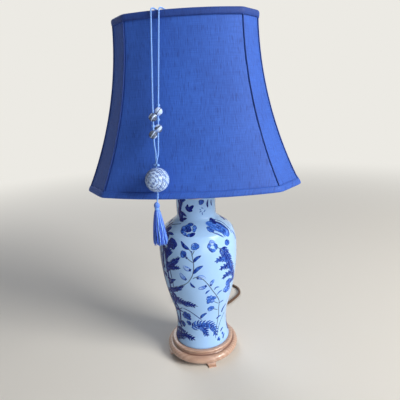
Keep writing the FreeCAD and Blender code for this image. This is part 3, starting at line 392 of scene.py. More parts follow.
def moulded(name, colour, pale, roughness, pebble, ior=1.5):
    """A moulded or sprayed surface with a fine pebble, in mm, and slightly uneven colour."""
    made, tree, shader, place = new_material(name, {"IOR": ior})
    blotch = add_node(tree, "TexNoise", {"Vector": place, "Scale": PER_MM / 7, "Detail": 3.0})
    tint = add_node(tree, "MixRGB", {0: blotch, 1: linear(colour), 2: linear(pale)})
    grain = add_node(tree, "TexNoise", {"Vector": place, "Scale": PER_MM / pebble, "Detail": 2.0})
    gloss = add_node(tree, "MapRange", {"Value": grain, "To Min": roughness * 0.8,
                                        "To Max": roughness * 1.2})
    relief = add_node(tree, "Bump", {"Height": grain, "Strength": 0.25, "Distance": 0.1 * MM})
    feed(tree, shader, {"Base Color": tint, "Roughness": gloss, "Normal": relief})
    return made


def lacquered_wood(name, pale, band, pore, groove_shade):
    """Turned hardwood under satin lacquer: growth bands across the blank, pores along it, and painted
    shade darkening the groove at the ring's foot."""
    made, tree, shader, place = new_material(name, {"Coat Weight": 0.6, "Coat Roughness": 0.14,
                                                    "IOR": 1.45})
    # The blank's grain runs along x
    grain = add_node(tree, "VectorMath", {0: place, 1: (0.12, 1, 1)}, operation="MULTIPLY")
    warp = add_node(tree, "TexNoise", {"Vector": grain, "Scale": PER_MM / 28,
                                       "Detail": 2.0}).outputs["Color"]
    bent = add_node(tree, "MixRGB", {0: 0.018, 1: grain, 2: warp}, blend_type="ADD")
    # Bands 5.7 mm apart: at a scale of 1 this wave has one every TURN / 20 m
    rings = add_node(tree, "TexWave", {"Vector": bent, "Scale": TURN / 20 * PER_MM / 5.712,
                                       "Distortion": 2.0, "Detail": 2.0, "Detail Scale": 1.5},
                     bands_direction="Y").outputs["Fac"]
    rings = add_node(tree, "MapRange", {"Value": rings, "To Max": 0.55})
    colour = add_node(tree, "MixRGB", {0: rings, 1: linear(pale), 2: linear(band)})
    # Pores are 0.1 mm wide in real beech, drawn 0.9 mm wide so that they show
    pores = add_node(tree, "VectorMath", {0: place, 1: (0.06, 1, 1)}, operation="MULTIPLY")
    pores = add_node(tree, "TexNoise", {"Vector": pores, "Scale": PER_MM / 0.9, "Detail": 2.0})
    open_pores = add_node(tree, "MapRange", {"Value": pores, "From Min": 0.56, "From Max": 0.72,
                                             "To Max": 0.45})
    colour = add_node(tree, "MixRGB", {0: open_pores, 1: colour, 2: linear(pore)})
    # The groove lies between 59.2 and 63.4 mm from the middle, up to 28.5 mm high, and is darkened as
    # painted shade
    flat = add_node(tree, "VectorMath", {0: place, 1: (1, 1, 0)}, operation="MULTIPLY")
    out = add_node(tree, "VectorMath", {0: flat}, operation="LENGTH").outputs["Value"]
    height = add_node(tree, "SeparateXYZ", {0: place}).outputs["Z"]
    groove = 0.85
    for value, start, end, first in ((out, 59.2, 60.6, 0.0), (out, 61.2, 63.4, 1.0),
                                     (height, 26.2, 28.5, 1.0)):
        start, end = start * MM, end * MM
        edge = add_node(tree, "MapRange", {"Value": value, "From Min": start, "From Max": end,
                                           "To Min": first, "To Max": 1 - first})
        groove = add_node(tree, "Math", {0: edge, 1: groove}, operation="MULTIPLY")
    colour = add_node(tree, "MixRGB", {0: groove, 1: colour, 2: linear(groove_shade)})
    gloss = add_node(tree, "MapRange", {"Value": pores, "To Min": 0.3, "To Max": 0.55})
    relief = add_node(tree, "Bump", {"Height": pores, "Strength": 0.2, "Distance": 0.2 * MM})
    feed(tree, shader, {"Base Color": colour, "Roughness": gloss, "Normal": relief})
    return made


def glazed(name, specular, spacing, detail):
    """A surface under a clear, slightly rippled glaze, and the noise that its gloss follows."""
    made, tree, shader, place = new_material(name, {"IOR": 1.5, "Specular IOR Level": specular})
    uneven = add_node(tree, "TexNoise", {"Vector": place, "Scale": PER_MM / spacing, "Detail": detail})
    gloss = add_node(tree, "MapRange", {"Value": uneven, "To Min": 0.1, "To Max": 0.2})
    ripple = add_node(tree, "TexNoise", {"Vector": place, "Scale": PER_MM / 11, "Detail": 1.0})
    ripple = add_node(tree, "Bump", {"Height": ripple, "Strength": 0.3, "Distance": 0.3 * MM})
    feed(tree, shader, {"Roughness": gloss, "Normal": ripple})
    return made, tree, shader, place, uneven


def clear_glaze(name, ground, pooled):
    """Bare porcelain under its glaze: a little cloudy, with a few fine specks of iron."""
    made, tree, shader, place, cloud = glazed(name, 0.28, 40, 2.0)
    clay = add_node(tree, "MixRGB", {0: cloud, 1: linear(ground), 2: linear(pooled)})
    grit = add_node(tree, "TexNoise", {"Vector": place, "Scale": PER_MM / 1.6, "Detail": 1.0})
    speck = add_node(tree, "MapRange", {"Value": grit, "From Min": 0.72, "From Max": 0.78,
                                        "To Max": 0.3})
    clay = add_node(tree, "MixRGB", {0: speck, 1: clay, 2: linear("#6a7488")})
    feed(tree, shader, {"Base Color": clay})
    return made


def cobalt_paint(name, pale, wash, dark, stem):
    """Brushed cobalt: the tone attribute runs from a pale wash at -1 to the darkest line at 1, and
    the brush attribute, in mm across and along a stroke, gives the streaks its hairs leave."""
    made, tree, shader, _, _ = glazed(name, 0.14, 40, 2.0)
    brush = add_node(tree, "Attribute", attribute_name="brush").outputs["Vector"]
    tone = add_node(tree, "Attribute", attribute_name="tone").outputs["Fac"]
    # Width and length in mm, and depth, of the hairs' streaks and of the pools of paint
    for wide, long, depth in ((0.8, 7, 0.28), (4, 5, 0.4)):
        streak = add_node(tree, "VectorMath", {0: brush, 1: (1 / wide, 1 / long, 1)},
                          operation="MULTIPLY")
        streak = add_node(tree, "TexNoise", {"Vector": streak, "Scale": 1.0, "Detail": 2.0})
        streak = add_node(tree, "MapRange", {"Value": streak, "From Min": 0.3, "From Max": 0.7,
                                             "To Min": -depth, "To Max": depth})
        tone = add_node(tree, "Math", {0: tone, 1: streak}, operation="ADD")
    thin = add_node(tree, "MapRange", {"Value": tone, "From Min": -1.0, "From Max": 0.0})
    colour = add_node(tree, "MixRGB", {0: thin, 1: linear(pale), 2: linear(wash)})
    deep = add_node(tree, "MapRange", {"Value": tone})
    colour = add_node(tree, "MixRGB", {0: deep, 1: colour, 2: linear(dark)})
    grey = add_node(tree, "Attribute", attribute_name="stem").outputs["Fac"]
    colour = add_node(tree, "MixRGB", {0: grey, 1: colour, 2: linear(stem)})
    feed(tree, shader, {"Base Color": colour})
    return made


def painted_glaze(name, ground, pooled, marks, edge, spread):
    """Small painted wares. Each kind of mark has an attribute, the distance in mm to the nearest one,
    below zero inside it, then its colour, and a darker one where the paint of a wash pooled."""
    made, tree, shader, place, brush = glazed(name, 0.22, spread, 3.0)
    fine = add_node(tree, "TexNoise", {"Vector": place, "Scale": PER_MM * 6 / spread, "Detail": 2.0})
    shake = add_node(tree, "MapRange", {"Value": fine, "From Min": 0.3, "From Max": 0.7,
                                        "To Min": -edge, "To Max": edge})
    cloud = add_node(tree, "TexNoise", {"Vector": place, "Scale": PER_MM / 40, "Detail": 2.0})
    colour = add_node(tree, "MixRGB", {0: cloud, 1: linear(ground), 2: linear(pooled)})
    for attribute, (tint, dark) in marks.items():
        soft = edge * (1.2 if dark else 1)
        gap = add_node(tree, "Attribute", attribute_name=attribute).outputs["Fac"]
        gap = add_node(tree, "Math", {0: gap, 1: shake}, operation="ADD")
        inside = add_node(tree, "MapRange", {"Value": gap, "From Min": -soft, "From Max": soft,
                                             "To Min": 1.0, "To Max": 0.0},
                          interpolation_type="SMOOTHSTEP")
        tint = linear(tint)
        if dark:
            pool = add_node(tree, "MapRange", {"Value": brush, "From Min": 0.3, "From Max": 0.7,
                                               "To Min": -0.18, "To Max": 0.32})
            rim = add_node(tree, "MapRange", {"Value": gap, "From Min": -edge * 4, "From Max": 0.0,
                                              "To Max": 0.3})
            depth = add_node(tree, "Math", {0: pool, 1: rim}, operation="ADD", use_clamp=True)
            tint = add_node(tree, "MixRGB", {0: depth, 1: tint, 2: linear(dark)})
        else:
            load = add_node(tree, "MapRange", {"Value": brush, "From Min": 0.25, "From Max": 0.6,
                                               "To Min": 1.0, "To Max": 0.72})
            inside = add_node(tree, "Math", {0: inside, 1: load}, operation="MULTIPLY")
        colour = add_node(tree, "MixRGB", {0: inside, 1: colour, 2: tint})
    feed(tree, shader, {"Base Color": colour})
    return made


def fine_fibre(name, colour, pale, across, sheen, roughness, dyed=False):
    """Fibre in streaks of two shades, across mm wide. Where it is dyed, every strand has its own."""
    made, tree, shader, place = new_material(name, {
        "Roughness": roughness, "Sheen Weight": sheen, "Sheen Roughness": 0.35,
        "Sheen Tint": linear(pale)})
    streak = add_node(tree, "TexNoise", {
        "Vector": place, "Scale": PER_MM / across, "Detail": 3.0, "Roughness": 0.7})
    amount = add_node(tree, "MapRange", {"Value": streak, "From Min": 0.3, "From Max": 0.7})
    if dyed:
        strand = add_node(tree, "Attribute", attribute_name="strand").outputs["Fac"]
        amount = add_node(tree, "Math", {0: amount, 1: 0.25}, operation="MULTIPLY")
        amount = add_node(tree, "Math", {0: strand, 1: 0.75, 2: amount}, operation="MULTIPLY_ADD")
    tint = add_node(tree, "MixRGB", {0: amount, 1: linear(colour), 2: linear(pale)})
    relief = add_node(tree, "Bump", {"Height": streak, "Strength": 0.4, "Distance": 0.2 * MM})
    feed(tree, shader, {"Base Color": tint, "Normal": relief})
    return made


# Woven from uneven yarns, so it shines softly and shows upright ribs and dark flecks
SILK = silk_cloth("cobalt slub silk", "#2a52ad", "#1b337c", "#3868cc")
# The same cloth drawn darker, as painted shade on the top trim and the seam piping
SHADE_DARKENED_SILK = silk_cloth("slub silk darkened as painted shade", "#1c3984", "#15235a", "#274c9e")
# Cloth bonded to styrene sheet: warm white, nearly matt
LINING = moulded("bonded white lining", "#efece4", "#f6f4ee", 0.7, 0.9)
# Steel wire dipped in enamel, which leaves it softly glossy and a little lumpy
ENAMEL = moulded("white dipped enamel", "#e9e7e1", "#f4f3ef", 0.32, 1.5)
# Lacquer keeps brass bright, with brown clouds where it has worn through
BRASS = plain_metal("lacquered brass", "#c9a45c", "#9c7636", 0.2)
# Spinning leaves fine scratches round it, so its gloss is drawn out
SPUN_BRASS = plain_metal("spun brass", "#cba962", "#a07c3f", 0.26, (1, 1, 8))
# Zinc plate is a cool grey with a dull bloom
STEEL = plain_metal("zinc plated steel", "#b9bcc0", "#8e9296", 0.32)
# Rolled sheet is pale, and bright along its grain
ALUMINIUM = plain_metal("rolled aluminium", "#d4d6d8", "#aeb1b4", 0.24, (1, 1, 6))
# Pressed paper fibre is tan and dry
FIBRE_CARD = moulded("vulcanised fibre card", "#b9a27c", "#c9b592", 0.7, 0.8)
# Hot moulded phenolic is black and glossy
PHENOLIC = moulded("black phenolic", "#15100e", "#241a16", 0.25, 1.2, 1.6)
# Soft vinyl has a low gloss and an even brown
BROWN_PVC = moulded("brown cord vinyl", "#4a3020", "#5a3c28", 0.42, 0.7)
# Pressed wool is dull, with a faint bright nap
FELT = fine_fibre("green felt", "#1f3a2a", "#35543f", 1.4, 0.4, 0.9)
# Turned beech under lacquer: pinkish tan with a thin clear shine, and painted shade in the groove at
# the jar's foot
WOOD = lacquered_wood("lacquered turned beech", "#c8a793", "#a9806d", "#865a4c", "#55291c")
# Rayon satin shines along its strands
SATIN = fine_fibre("sky blue satin cord", "#4f8ce6", "#9cc4fa", 0.8, 0.25, 0.4)
# Floss silk: each loose strand took the dye differently
TASSEL_SILK = fine_fibre("royal blue floss silk", "#0540cc", "#84b8ff", 1.1, 0.1, 0.42, dyed=True)
# Blue-white porcelain with wide soft reflections
JAR_GLAZE = clear_glaze("clear glazed porcelain", "#a8cffb", "#9bc4f5")
# Cobalt under the same glaze: pale where the brush ran dry, near black where it pooled
JAR_PAINT = cobalt_paint("cobalt brushwork under glaze", "#a9c9f6", "#3f78e0", "#041878", "#53657f")
# Porcelain with thin grey-blue scrolls
BALL_GLAZE = painted_glaze("scroll painted porcelain", "#c3ddff", "#adcaf6", {
    "blots": ("#86a4dc", "#5271c0"), "scrolls": ("#5c6aa6", None),
    "rings": ("#38457f", None)}, 0.16, 3.0)
# Pale lampwork glass with a dark swirl
BEAD_GLASS = painted_glaze("swirled bead glass", "#c6dbff", "#adc6f2", {
    "stripes": ("#030c28", None)}, 0.12, 2.0)
# Etched glass is milky, and glows where light enters it
FROSTED_GLASS, tree, shader, place = new_material("frosted bulb glass", {
    "Base Color": linear("#f7f5ee"), "Transmission Weight": 0.25, "IOR": 1.5, "Roughness": 0.35,
    "Subsurface Weight": 0.4, "Subsurface Radius": (1, 1, 1), "Subsurface Scale": 4 * MM})
speck = add_node(tree, "TexNoise", {"Vector": place, "Scale": PER_MM / 0.8, "Detail": 2.0})
etched = add_node(tree, "Bump", {"Height": speck, "Strength": 0.1, "Distance": 0.1 * MM})
feed(tree, shader, {"Normal": etched})

# The finish of each solid that is shown as it is
FINISHES = {
    "wood_base foot_front foot_right foot_rear foot_left": WOOD,
    "steel_washer lock_washer hex_nut lamp_pipe cap_set_screw switch_shaft plug_blades": STEEL,
    "felt_ring": FELT, "vase_cap socket_cap socket_shell brass_spacer finial": SPUN_BRASS,
    "cap_check_ring saddle_check_ring harp_saddle harp_wire harp_stud harp_sleeve_left "
    "harp_sleeve_right centre_contact terminal_screws": BRASS,
    "socket_liner": FIBRE_CARD, "socket_insulator switch_knob": PHENOLIC,
    "screw_shell bulb_cap": ALUMINIUM, "inner_wires cord_bushing plug_lead plug_body": BROWN_PVC,
    "bulb_glass": FROSTED_GLASS, "shade_frame shade_spider": ENAMEL, "shade_liner": LINING,
}
for names, finish in FINISHES.items():
    for name in names.split():
        nodes[name].data.materials.clear()
        nodes[name].data.materials.append(finish)


# Shade

SHADE_BOTTOM, SHADE_TOP = 344.0, 611.0
# The bell flares toward its foot by this power of the way down
BELL_POWER = 1.95
# Half width, front half, half depth, side half, front bow and side bow of the plan
TOP_PLAN = np.array([110.4, 87, 69.4, 41.5, 13.4, 1.5])
BOTTOM_PLAN = np.array([178, 140, 99, 48.5, 24, 3.0])
# The panels end inside the trims, and just short of each other, where the piping covers their seams
TRIM_INSET, SEAM_GAP, SILK_THICKNESS = 1.3, 0.5, 0.8
# The lining hangs inside the wire frame
LINING_DEPTH, LINING_THICKNESS = 5.1, 0.6
# Points across each of the eight panels, in the silk, the lining and the trims
SILK_COLUMNS = (84, 18, 34, 18) * 2
LINING_COLUMNS = (30, 6, 12, 6) * 2
TRIM_SHARES = (72, 12, 28, 12) * 2
TRIM_COLUMNS = sum(TRIM_SHARES)
# Each length of cloth takes its yarns from its own depth of the pattern
PANEL_DEPTH, PIPING_DEPTH, TRIM_DEPTH = 37.0, 300.0, 400.0
PANEL_NAMES = ("front", "front_right", "right", "back_right", "back", "back_left", "left", "front_left")


def plan(height, out):
    """The eight corners and panel middles of the shade's plan at a height, moved out and mitred."""
    flare = (1 - min(max((height - SHADE_BOTTOM) / (SHADE_TOP - SHADE_BOTTOM), 0), 1)) ** BELL_POWER
    wide, front, deep, side, bow, side_bow = TOP_PLAN + (BOTTOM_PLAN - TOP_PLAN) * flare
    quarter = [(-front, -deep), (front, -deep), (wide, -side), (wide, side)]
    corners = np.array(quarter + [(-x, -y) for x, y in quarter])
    following = np.roll(corners, -1, axis=0)
    half = np.linalg.norm(following - corners, axis=1, keepdims=True) / 2
    along = unit(following - corners)
    square = np.stack([along[:, 1], -along[:, 0]], 1)
    bulge = np.array([bow, 0, side_bow, 0] * 2)[:, None]
    lean = 2 * np.arctan2(bulge, half)
    first = square * np.cos(lean) - along * np.sin(lean)
    before = np.roll(square * np.cos(lean) + along * np.sin(lean), 1, axis=0)
    moved = corners + (before + first) * (out / (1 + (before * first).sum(1, keepdims=True)))
    return moved, (corners + following) / 2 + square * (bulge + out)


def plan_edge(corners, middles, index, shares):
    """Points along one bowed edge of the plan, at shares of its length."""
    start, end = corners[index], corners[(index + 1) % 8]
    length = np.linalg.norm(end - start)
    along = unit(end - start)
    square = np.array([along[1], -along[0]])
    sag = (middles[index] - (start + end) / 2) @ square
    if abs(sag) < 0.01:
        return start + shares[:, None] * (end - start)
    radius = (length ** 2 / 4 + sag ** 2) / (2 * sag)
    angles = (2 * shares[:, None] - 1) * math.atan2(length / 2, radius - sag)
    spokes = np.sin(angles) * along + np.cos(angles) * square
    return (start + end) / 2 + square * (sag - radius) + radius * spokes


def on_cloth(across, along, depth):
    """The cloth attribute of a row of points: mm across and along the cloth, and its depth."""
    return np.stack(np.broadcast_arrays(across, along, depth), 1)


def panel_grid(index, heights, out, shares, relief=None):
    """Rows of points across one panel, kept back from its seams, and their place on the cloth."""
    rows, cloth = [], []
    for height in heights:
        corners, middles = plan(height, out)
        row = plan_edge(corners, middles, index, shares)
        width = reach_along(row)[-1]
        gap = SEAM_GAP / width
        row = plan_edge(corners, middles, index, gap + shares * (1 - 2 * gap))
        if relief is not None:
            across = unit(row[-1] - row[0])
            out_of_cloth = np.array([across[1], -across[0]])
            row = row + out_of_cloth * relief(shares * width, width, height)[:, None]
        rows.append(np.concatenate([row, np.full((len(row), 1), height)], 1))
        cloth.append(on_cloth((shares - 0.5) * width, height, index * PANEL_DEPTH))
    return np.array(rows), np.array(cloth)


def closed_sheet(front, back):
    """A thin closed solid between two grids of points."""
    rows, columns = front.shape[:2]
    count = rows * columns
    faces = grid_faces(rows, columns)
    faces += [face[::-1] for face in grid_faces(rows, columns, start=count)]
    border = ([(0, c) for c in range(columns)] + [(r, columns - 1) for r in range(1, rows)]
              + [(rows - 1, c) for c in range(columns - 2, -1, -1)]
              + [(r, 0) for r in range(rows - 2, 0, -1)])
    border = [row * columns + column for row, column in border]
    for here, following in zip(border, border[1:] + border[:1]):
        faces.append([following, here, here + count, following + count])
    return np.concatenate([front.reshape(-1, 3), back.reshape(-1, 3)]), faces


def tension(index):
    """How a stretched panel stands off its smooth shape: drawn in at the seams, eased between them."""
    def relief(across, width, height):
        left, right = across, width - across
        near = np.minimum(left, right)
        seed = index * 2 + (left[0] < right[0])
        pucker = 0.22 * np.exp(-near / 5) * wobble(height + near * 0.6, 7, seed)
        ease = 0.25 * wobble(across, 26, index + 40) * wobble(height, 90, index + 60)
        return pucker + ease - 0.12 * np.exp(-near / 9)
    return relief


low, high = SHADE_BOTTOM + TRIM_INSET, SHADE_TOP - TRIM_INSET
for index, name in enumerate(PANEL_NAMES):
    columns = SILK_COLUMNS[index]
    heights, shares = np.linspace(low, high, 96), np.linspace(0, 1, columns)
    front, cloth = panel_grid(index, heights, 0, shares, relief=tension(index))
    back, _ = panel_grid(index, heights, -SILK_THICKNESS, shares, relief=tension(index))
    points, faces = closed_sheet(front, back)
    cloth = np.concatenate([cloth.reshape(-1, 3)] * 2)
    panel = new_piece("silk_" + name, points, faces, "shade", SILK, "silk", ["panel_" + name],
                      {"cloth": cloth})
    edges = front[0], front[-1], front[:, columns // 2]
    width, top, length = (reach_along(edge)[-1] * MM for edge in edges)

parts = []
for index in range(8):
    heights, shares = np.linspace(low, high, 40), np.linspace(0, 1, LINING_COLUMNS[index])
    front, _ = panel_grid(index, heights, -LINING_DEPTH, shares)
    back, _ = panel_grid(index, heights, -LINING_DEPTH - LINING_THICKNESS, shares)
    parts.append(closed_sheet(front, back))
new_piece("shade_lining", *joined(parts), "shade", LINING, "lining", ["shade_liner"])


def band_loop(edge, step):
    """A folded band over one edge of the shade, closed all round, and its place on the cloth."""
    # The band's section in mm: out from the silk, and up from the shade's edge
    outside = [(0.2, 9.7), (0.9, 10.2), (1.8, 9.8), (2.5, 8.6), (2.9, 6.9), (3.0, 5.0), (2.85, 3.2),
               (2.4, 1.7), (1.6, 0.6), (0.8, 0.12), (0.0, 0.0)]
    under = [(-2.5, 0.0), (-5.5, 0.0), (-6.4, 0.2), (-6.85, 0.9)]
    inside = [(-6.9, 3.0), (-6.75, 6.5), (-6.9, 9.2), (-6.7, 10.2), (-6.3, 10.5), (-5.95, 10.0),
              (-5.9, 6.0), (-5.9, 1.3), (-3.0, 1.05), (0.15, 1.05), (0.2, 2.0), (0.2, 6.5)]
    section = np.array(outside + under + inside)
    if step < 0:
        section = section[::-1]
    samples = [np.linspace(0, 1, count, endpoint=False) for count in TRIM_SHARES]
    rows, cloth = [], []
    for (out, rise), reach in zip(section, reach_along(section)):
        height = edge + step * rise
        corners, middles = plan(height, out)
        ring = np.concatenate([plan_edge(corners, middles, index, samples[index])
                               for index in range(8)])
        # The fold rounds the shade's corners
        for _ in range(2):
            ring = (np.roll(ring, 1, axis=0) + 2 * ring + np.roll(ring, -1, axis=0)) / 4
        around = reach_along(ring)
        if out > 0.3:
            ring = ring + unit(ring) * (0.14 * wobble(around + rise * 0.8, 5.5, 91 + step)
                                        + 0.1 * wobble(around - rise * 1.4, 17, 95 + step))[:, None]
        rows.append(np.concatenate([ring, np.full((len(ring), 1), height)], 1))
        cloth.append(on_cloth(around, reach, TRIM_DEPTH))
    faces = tube_faces(len(rows), TRIM_COLUMNS, capped=False)
    return np.concatenate(rows), [face[::-1] for face in faces], np.concatenate(cloth)


# The top trim takes the darker silk as painted shade; the bottom trim takes the panels' own silk
for name, edge, step, finish in (("top_trim", SHADE_TOP, -1, SHADE_DARKENED_SILK),
                                 ("bottom_trim", SHADE_BOTTOM, 1, SILK)):
    points, faces, cloth = band_loop(edge, step)
    trim = new_piece("folded_" + name, points, faces, "shade", finish, "silk_trim", [name],
                     {"cloth": cloth})
    around = reach_along(points[:TRIM_COLUMNS])[-1] * MM

# The piping's section in mm: a round cord in a folded strip whose foot goes down between two panels
PIPING_TURNS = np.linspace(0.34, TURN - 0.34, 13)
PIPING = [(0.8 * math.sin(turn), 0.65 - 0.8 * math.cos(turn)) for turn in PIPING_TURNS]
PIPING += [(-0.26, -0.9), (0.26, -0.9)]
parts, cloth = [], []
heights = np.linspace(SHADE_BOTTOM + 9.2, SHADE_TOP - 9.2, 150)
for index in range(8):
    rows = []
    for height, swell in zip(heights, 1 + 0.04 * wobble(heights, 3.1, 70 + index)):
        corner, outer = plan(height, 0)[0][index], plan(height, 1)[0][index]
        out = unit(outer - corner)
        row = [corner + (outer - corner) * rise * (swell if rise > 0 else 1)
               + np.array([-out[1], out[0]]) * across * swell for across, rise in PIPING]
        rows.append([(*place, height) for place in row])
    count = len(PIPING)
    parts.append((np.array(rows).reshape(-1, 3), tube_faces(len(heights), count)))
    around = np.tile(np.arange(count) * 0.7, len(heights))
    cloth.append(on_cloth(around, np.repeat(heights, count), PIPING_DEPTH + index))
# The piping takes the darker silk as painted shade
new_piece("seam_piping", *joined(parts), "shade", SHADE_DARKENED_SILK, "silk_trim", ["seam_beads"],
          {"cloth": np.concatenate(cloth)})


# Jar

# The jar's outline in arcs and straight runs, as radius and height, and its columns round it
JAR_GRID, JAR_COLUMNS = 1.6, 288
JAR_CURVES = [
    [(51.3, 29.5), (51.9, 29.6), (52.7, 30.1), (53.2, 30.9), (53.3, 31.5)],
    [(53.3, 31.5), (53.3, 34)],
    outline_arc((53.3, 34), (48.4, 64.5), False, 60),
    outline_arc((48.4, 64.5), (55.418, 110.175), True, 90),
    outline_arc((55.418, 110.175), (72.6, 222), False, 200),
    outline_arc((72.6, 222), (66.3, 255.5), True, 60),
    arc_points((66.3, 255.5), (64.5, 259.2), (60.6, 262.5), 20),
    [(60.6, 262.5), (40.6, 278.1)],
    outline_arc((40.6, 278.1), (35.6, 286.5), False, 20),
    [(35.6, 286.5), (35.6, 322.5)],
    [(35.6, 322.5), (35.3, 323.2), (34.6, 323.5)]]
JAR_PROFILE = np.concatenate([[(51.3, 29.5)]] + [
    resampled(np.array(curve), JAR_GRID)[0][1:] for curve in JAR_CURVES])

# A brush stroke's section: share of its half width, and height over the jar in mm. Its edges end in
# the clay, and they cross the glaze at this share of the half width
STROKE_FACE = 0.89
STROKE_SECTION = np.array([(-1, -0.2), (-0.86, 0.05), (-0.4, 0.08), (0.4, 0.08), (0.86, 0.05),
                           (1, -0.2)])
RIM_SHARE = np.array([1, 1, 0, 0, 1, 1])
# Each stroke lies a little higher than the last, up to a limit, so that none flickers through another
LIFT_STEP, LIFT_LIMIT = 0.012, 0.24
# Each stroke takes its streaks from its own depth of the pattern
STROKE_DEPTH = 7.3
# Degrees from the middle of a painted side to the vine beside it
VINE_TURN = 98


# How a stroke's width swells from its foot, at 0, to its tip, at 1


def even_swell(along):
    return 0.8 + 0.2 * np.sin(np.pi * along)


def leaf_swell(along):
    return np.sin(np.pi * along ** 0.9) ** 0.6


def petal_swell(along):
    return np.sin(np.pi * (0.12 + 0.88 * along) ** 1.5) ** 0.55


def tooth_swell(along):
    return 0.1 + 0.9 * (1 - along ** 2.4)


class Brushwork:
    """Brush strokes on the jar, each a thin closed skin that follows its surface. A stroke's tone is
    how dark its cobalt is, and its brush layer gives millimetres across and along it."""

    def __init__(self, profile):
        self.radii, self.levels = profile.T
        self.climb = reach_along(profile)
        slope = np.gradient(profile, self.climb, axis=0)
        self.normals = np.stack([slope[:, 1], -slope[:, 0]], 1)
        self.parts, self.tones, self.brushes, self.stems = [], [], [], []
        self.spin, self.lift = 0.0, 0.0

    def laid(self, places):
        """The middle angle of some (angle, height) places, and the places laid flat, in mm."""
        places = np.array(places, float)
        angle, height = places.mean(0)
        radius = np.interp(height, self.levels, self.radii)
        return angle, np.stack([np.radians(places[:, 0] - angle) * radius,
                                np.interp(places[:, 1], self.levels, self.climb)], 1)

    def skin(self, angle, line, half, tone, rim=0.25, stem=0.0):
        """One stroke's mesh along a flat line, with its half width and its tone at each point."""
        ahead = unit(np.gradient(line, axis=0))
        side = np.stack([-ahead[:, 1], ahead[:, 0]], 1)
        half = np.broadcast_to(np.maximum(half, 0.08) / STROKE_FACE, len(line))
        share, height = STROKE_SECTION.T
        flat = line[:, None] + side[:, None] * (half[:, None] * share)[..., None]
        climb = flat[..., 1]
        radius = np.interp(climb, self.climb, self.radii)
        level = np.interp(climb, self.climb, self.levels)
        lift = height + self.lift * (height > 0)
        out = radius + np.interp(climb, self.climb, self.normals[:, 0]) * lift
        turn = math.radians(angle + self.spin) + flat[..., 0] / radius
        points = np.stack([out * np.sin(turn), -out * np.cos(turn),
                           level + np.interp(climb, self.climb, self.normals[:, 1]) * lift], -1)
        count = len(share)
        self.parts.append((points.reshape(-1, 3), tube_faces(len(line), count)))
        tone = np.broadcast_to(tone, len(line))[:, None] + rim * RIM_SHARE
        self.tones.append(tone.ravel())
        brush = np.stack([half[:, None] * share, np.repeat(reach_along(line)[:, None], count, 1),
                          np.full((len(line), count), len(self.parts) * STROKE_DEPTH)], -1)
        self.brushes.append(brush.reshape(-1, 3))
        self.stems.append(np.full(len(line) * count, stem))
        self.lift = (self.lift + LIFT_STEP) % LIFT_LIMIT

    def stroke(self, places, width, tone, swell=even_swell, stem=0.0, gap=1.4):
        """One brush stroke along a smooth line through its places."""
        angle, flat = self.laid(places)
        line, marks = resampled(smooth_line(flat, 6), gap)
        self.skin(angle, line, width / 2 * swell(marks / marks[-1]), tone, 0.1, stem)

    def leaf(self, foot, tip, width, tone, bend=0.1):
        """A leaf with a midrib and a dark foot. A pale one has a darker outline."""
        angle, (start, end) = self.laid([foot, tip])
        side = np.array([start[1] - end[1], end[0] - start[0]])
        line, marks = resampled(smooth_line([start, (start + end) / 2 + side * bend, end], 6), 0.9)
        share = marks / marks[-1]
        pale = tone < 0.35
        shade = np.where(share < 0.25, 0.35, 0) + 0.12 * np.sin(share * 9 + marks[-1])
        self.skin(angle, line, width / 2 * leaf_swell(share), tone + shade, 1.2 if pale else 0.25)
        rib = line[1:-2 - len(line) // 5]
        if pale:
            blob = line[:3 + len(line) // 8]
            self.skin(angle, blob, width * 0.32 * even_swell(np.linspace(0, 1, len(blob))), 1.0)
            self.skin(angle, rib, 0.35, tone + 1.0)
        else:
            self.skin(angle, rib, 0.36, tone + 0.5)

    def fern(self, places, reach, tone, spacing=4.2, thick=3.0, spine=0.4):
        """A toothed leaf: a spine between leaflets that grow shorter toward its tip."""
        angle, flat = self.laid(places)
        line, marks = resampled(smooth_line(flat, 8), 0.8)
        ahead = unit(np.gradient(line, axis=0))
        count = max(3, int(marks[-1] / spacing))
        for number in range(2 * count):
            share = 0.02 + 0.92 * (number // 2 + 0.35 * (number % 2)) / count
            spot = int(share * (len(line) - 1))
            across = np.array([-ahead[spot][1], ahead[spot][0]]) * (1 if number % 2 else -1)
            uneven = 0.88 + 0.12 * math.sin(number * 2.4 + angle)
            length = reach * (1.05 - 0.6 * share ** 2) * uneven
            tip = line[spot] + (ahead[spot] * 0.62 + across * 0.78) * length
            middle = line[spot] + (ahead[spot] * 0.2 + across * 0.46) * length
            leaflet = resampled(smooth_line([line[spot], middle, tip], 4), 0.9)[0]
            swell = tooth_swell(np.linspace(0, 1, len(leaflet)))
            self.skin(angle, leaflet, thick / 2 * swell, tone + 0.16 * math.sin(number * 1.7), 0.3)
        self.skin(angle, line, reach * spine / 2 * leaf_swell(marks / marks[-1]), tone + 0.1)
        self.skin(angle, line[1:-len(line) // 4], 0.3, tone - 0.45, 0.0)

    def dot(self, angle, middle, size, tone):
        """A round dab of paint."""
        share = np.linspace(-0.98, 0.98, 7)
        line = middle + np.stack([share * size / 2, 0 * share], 1)
        self.skin(angle, line, size / 2 * np.sqrt(1 - share ** 2), tone, 0.2)

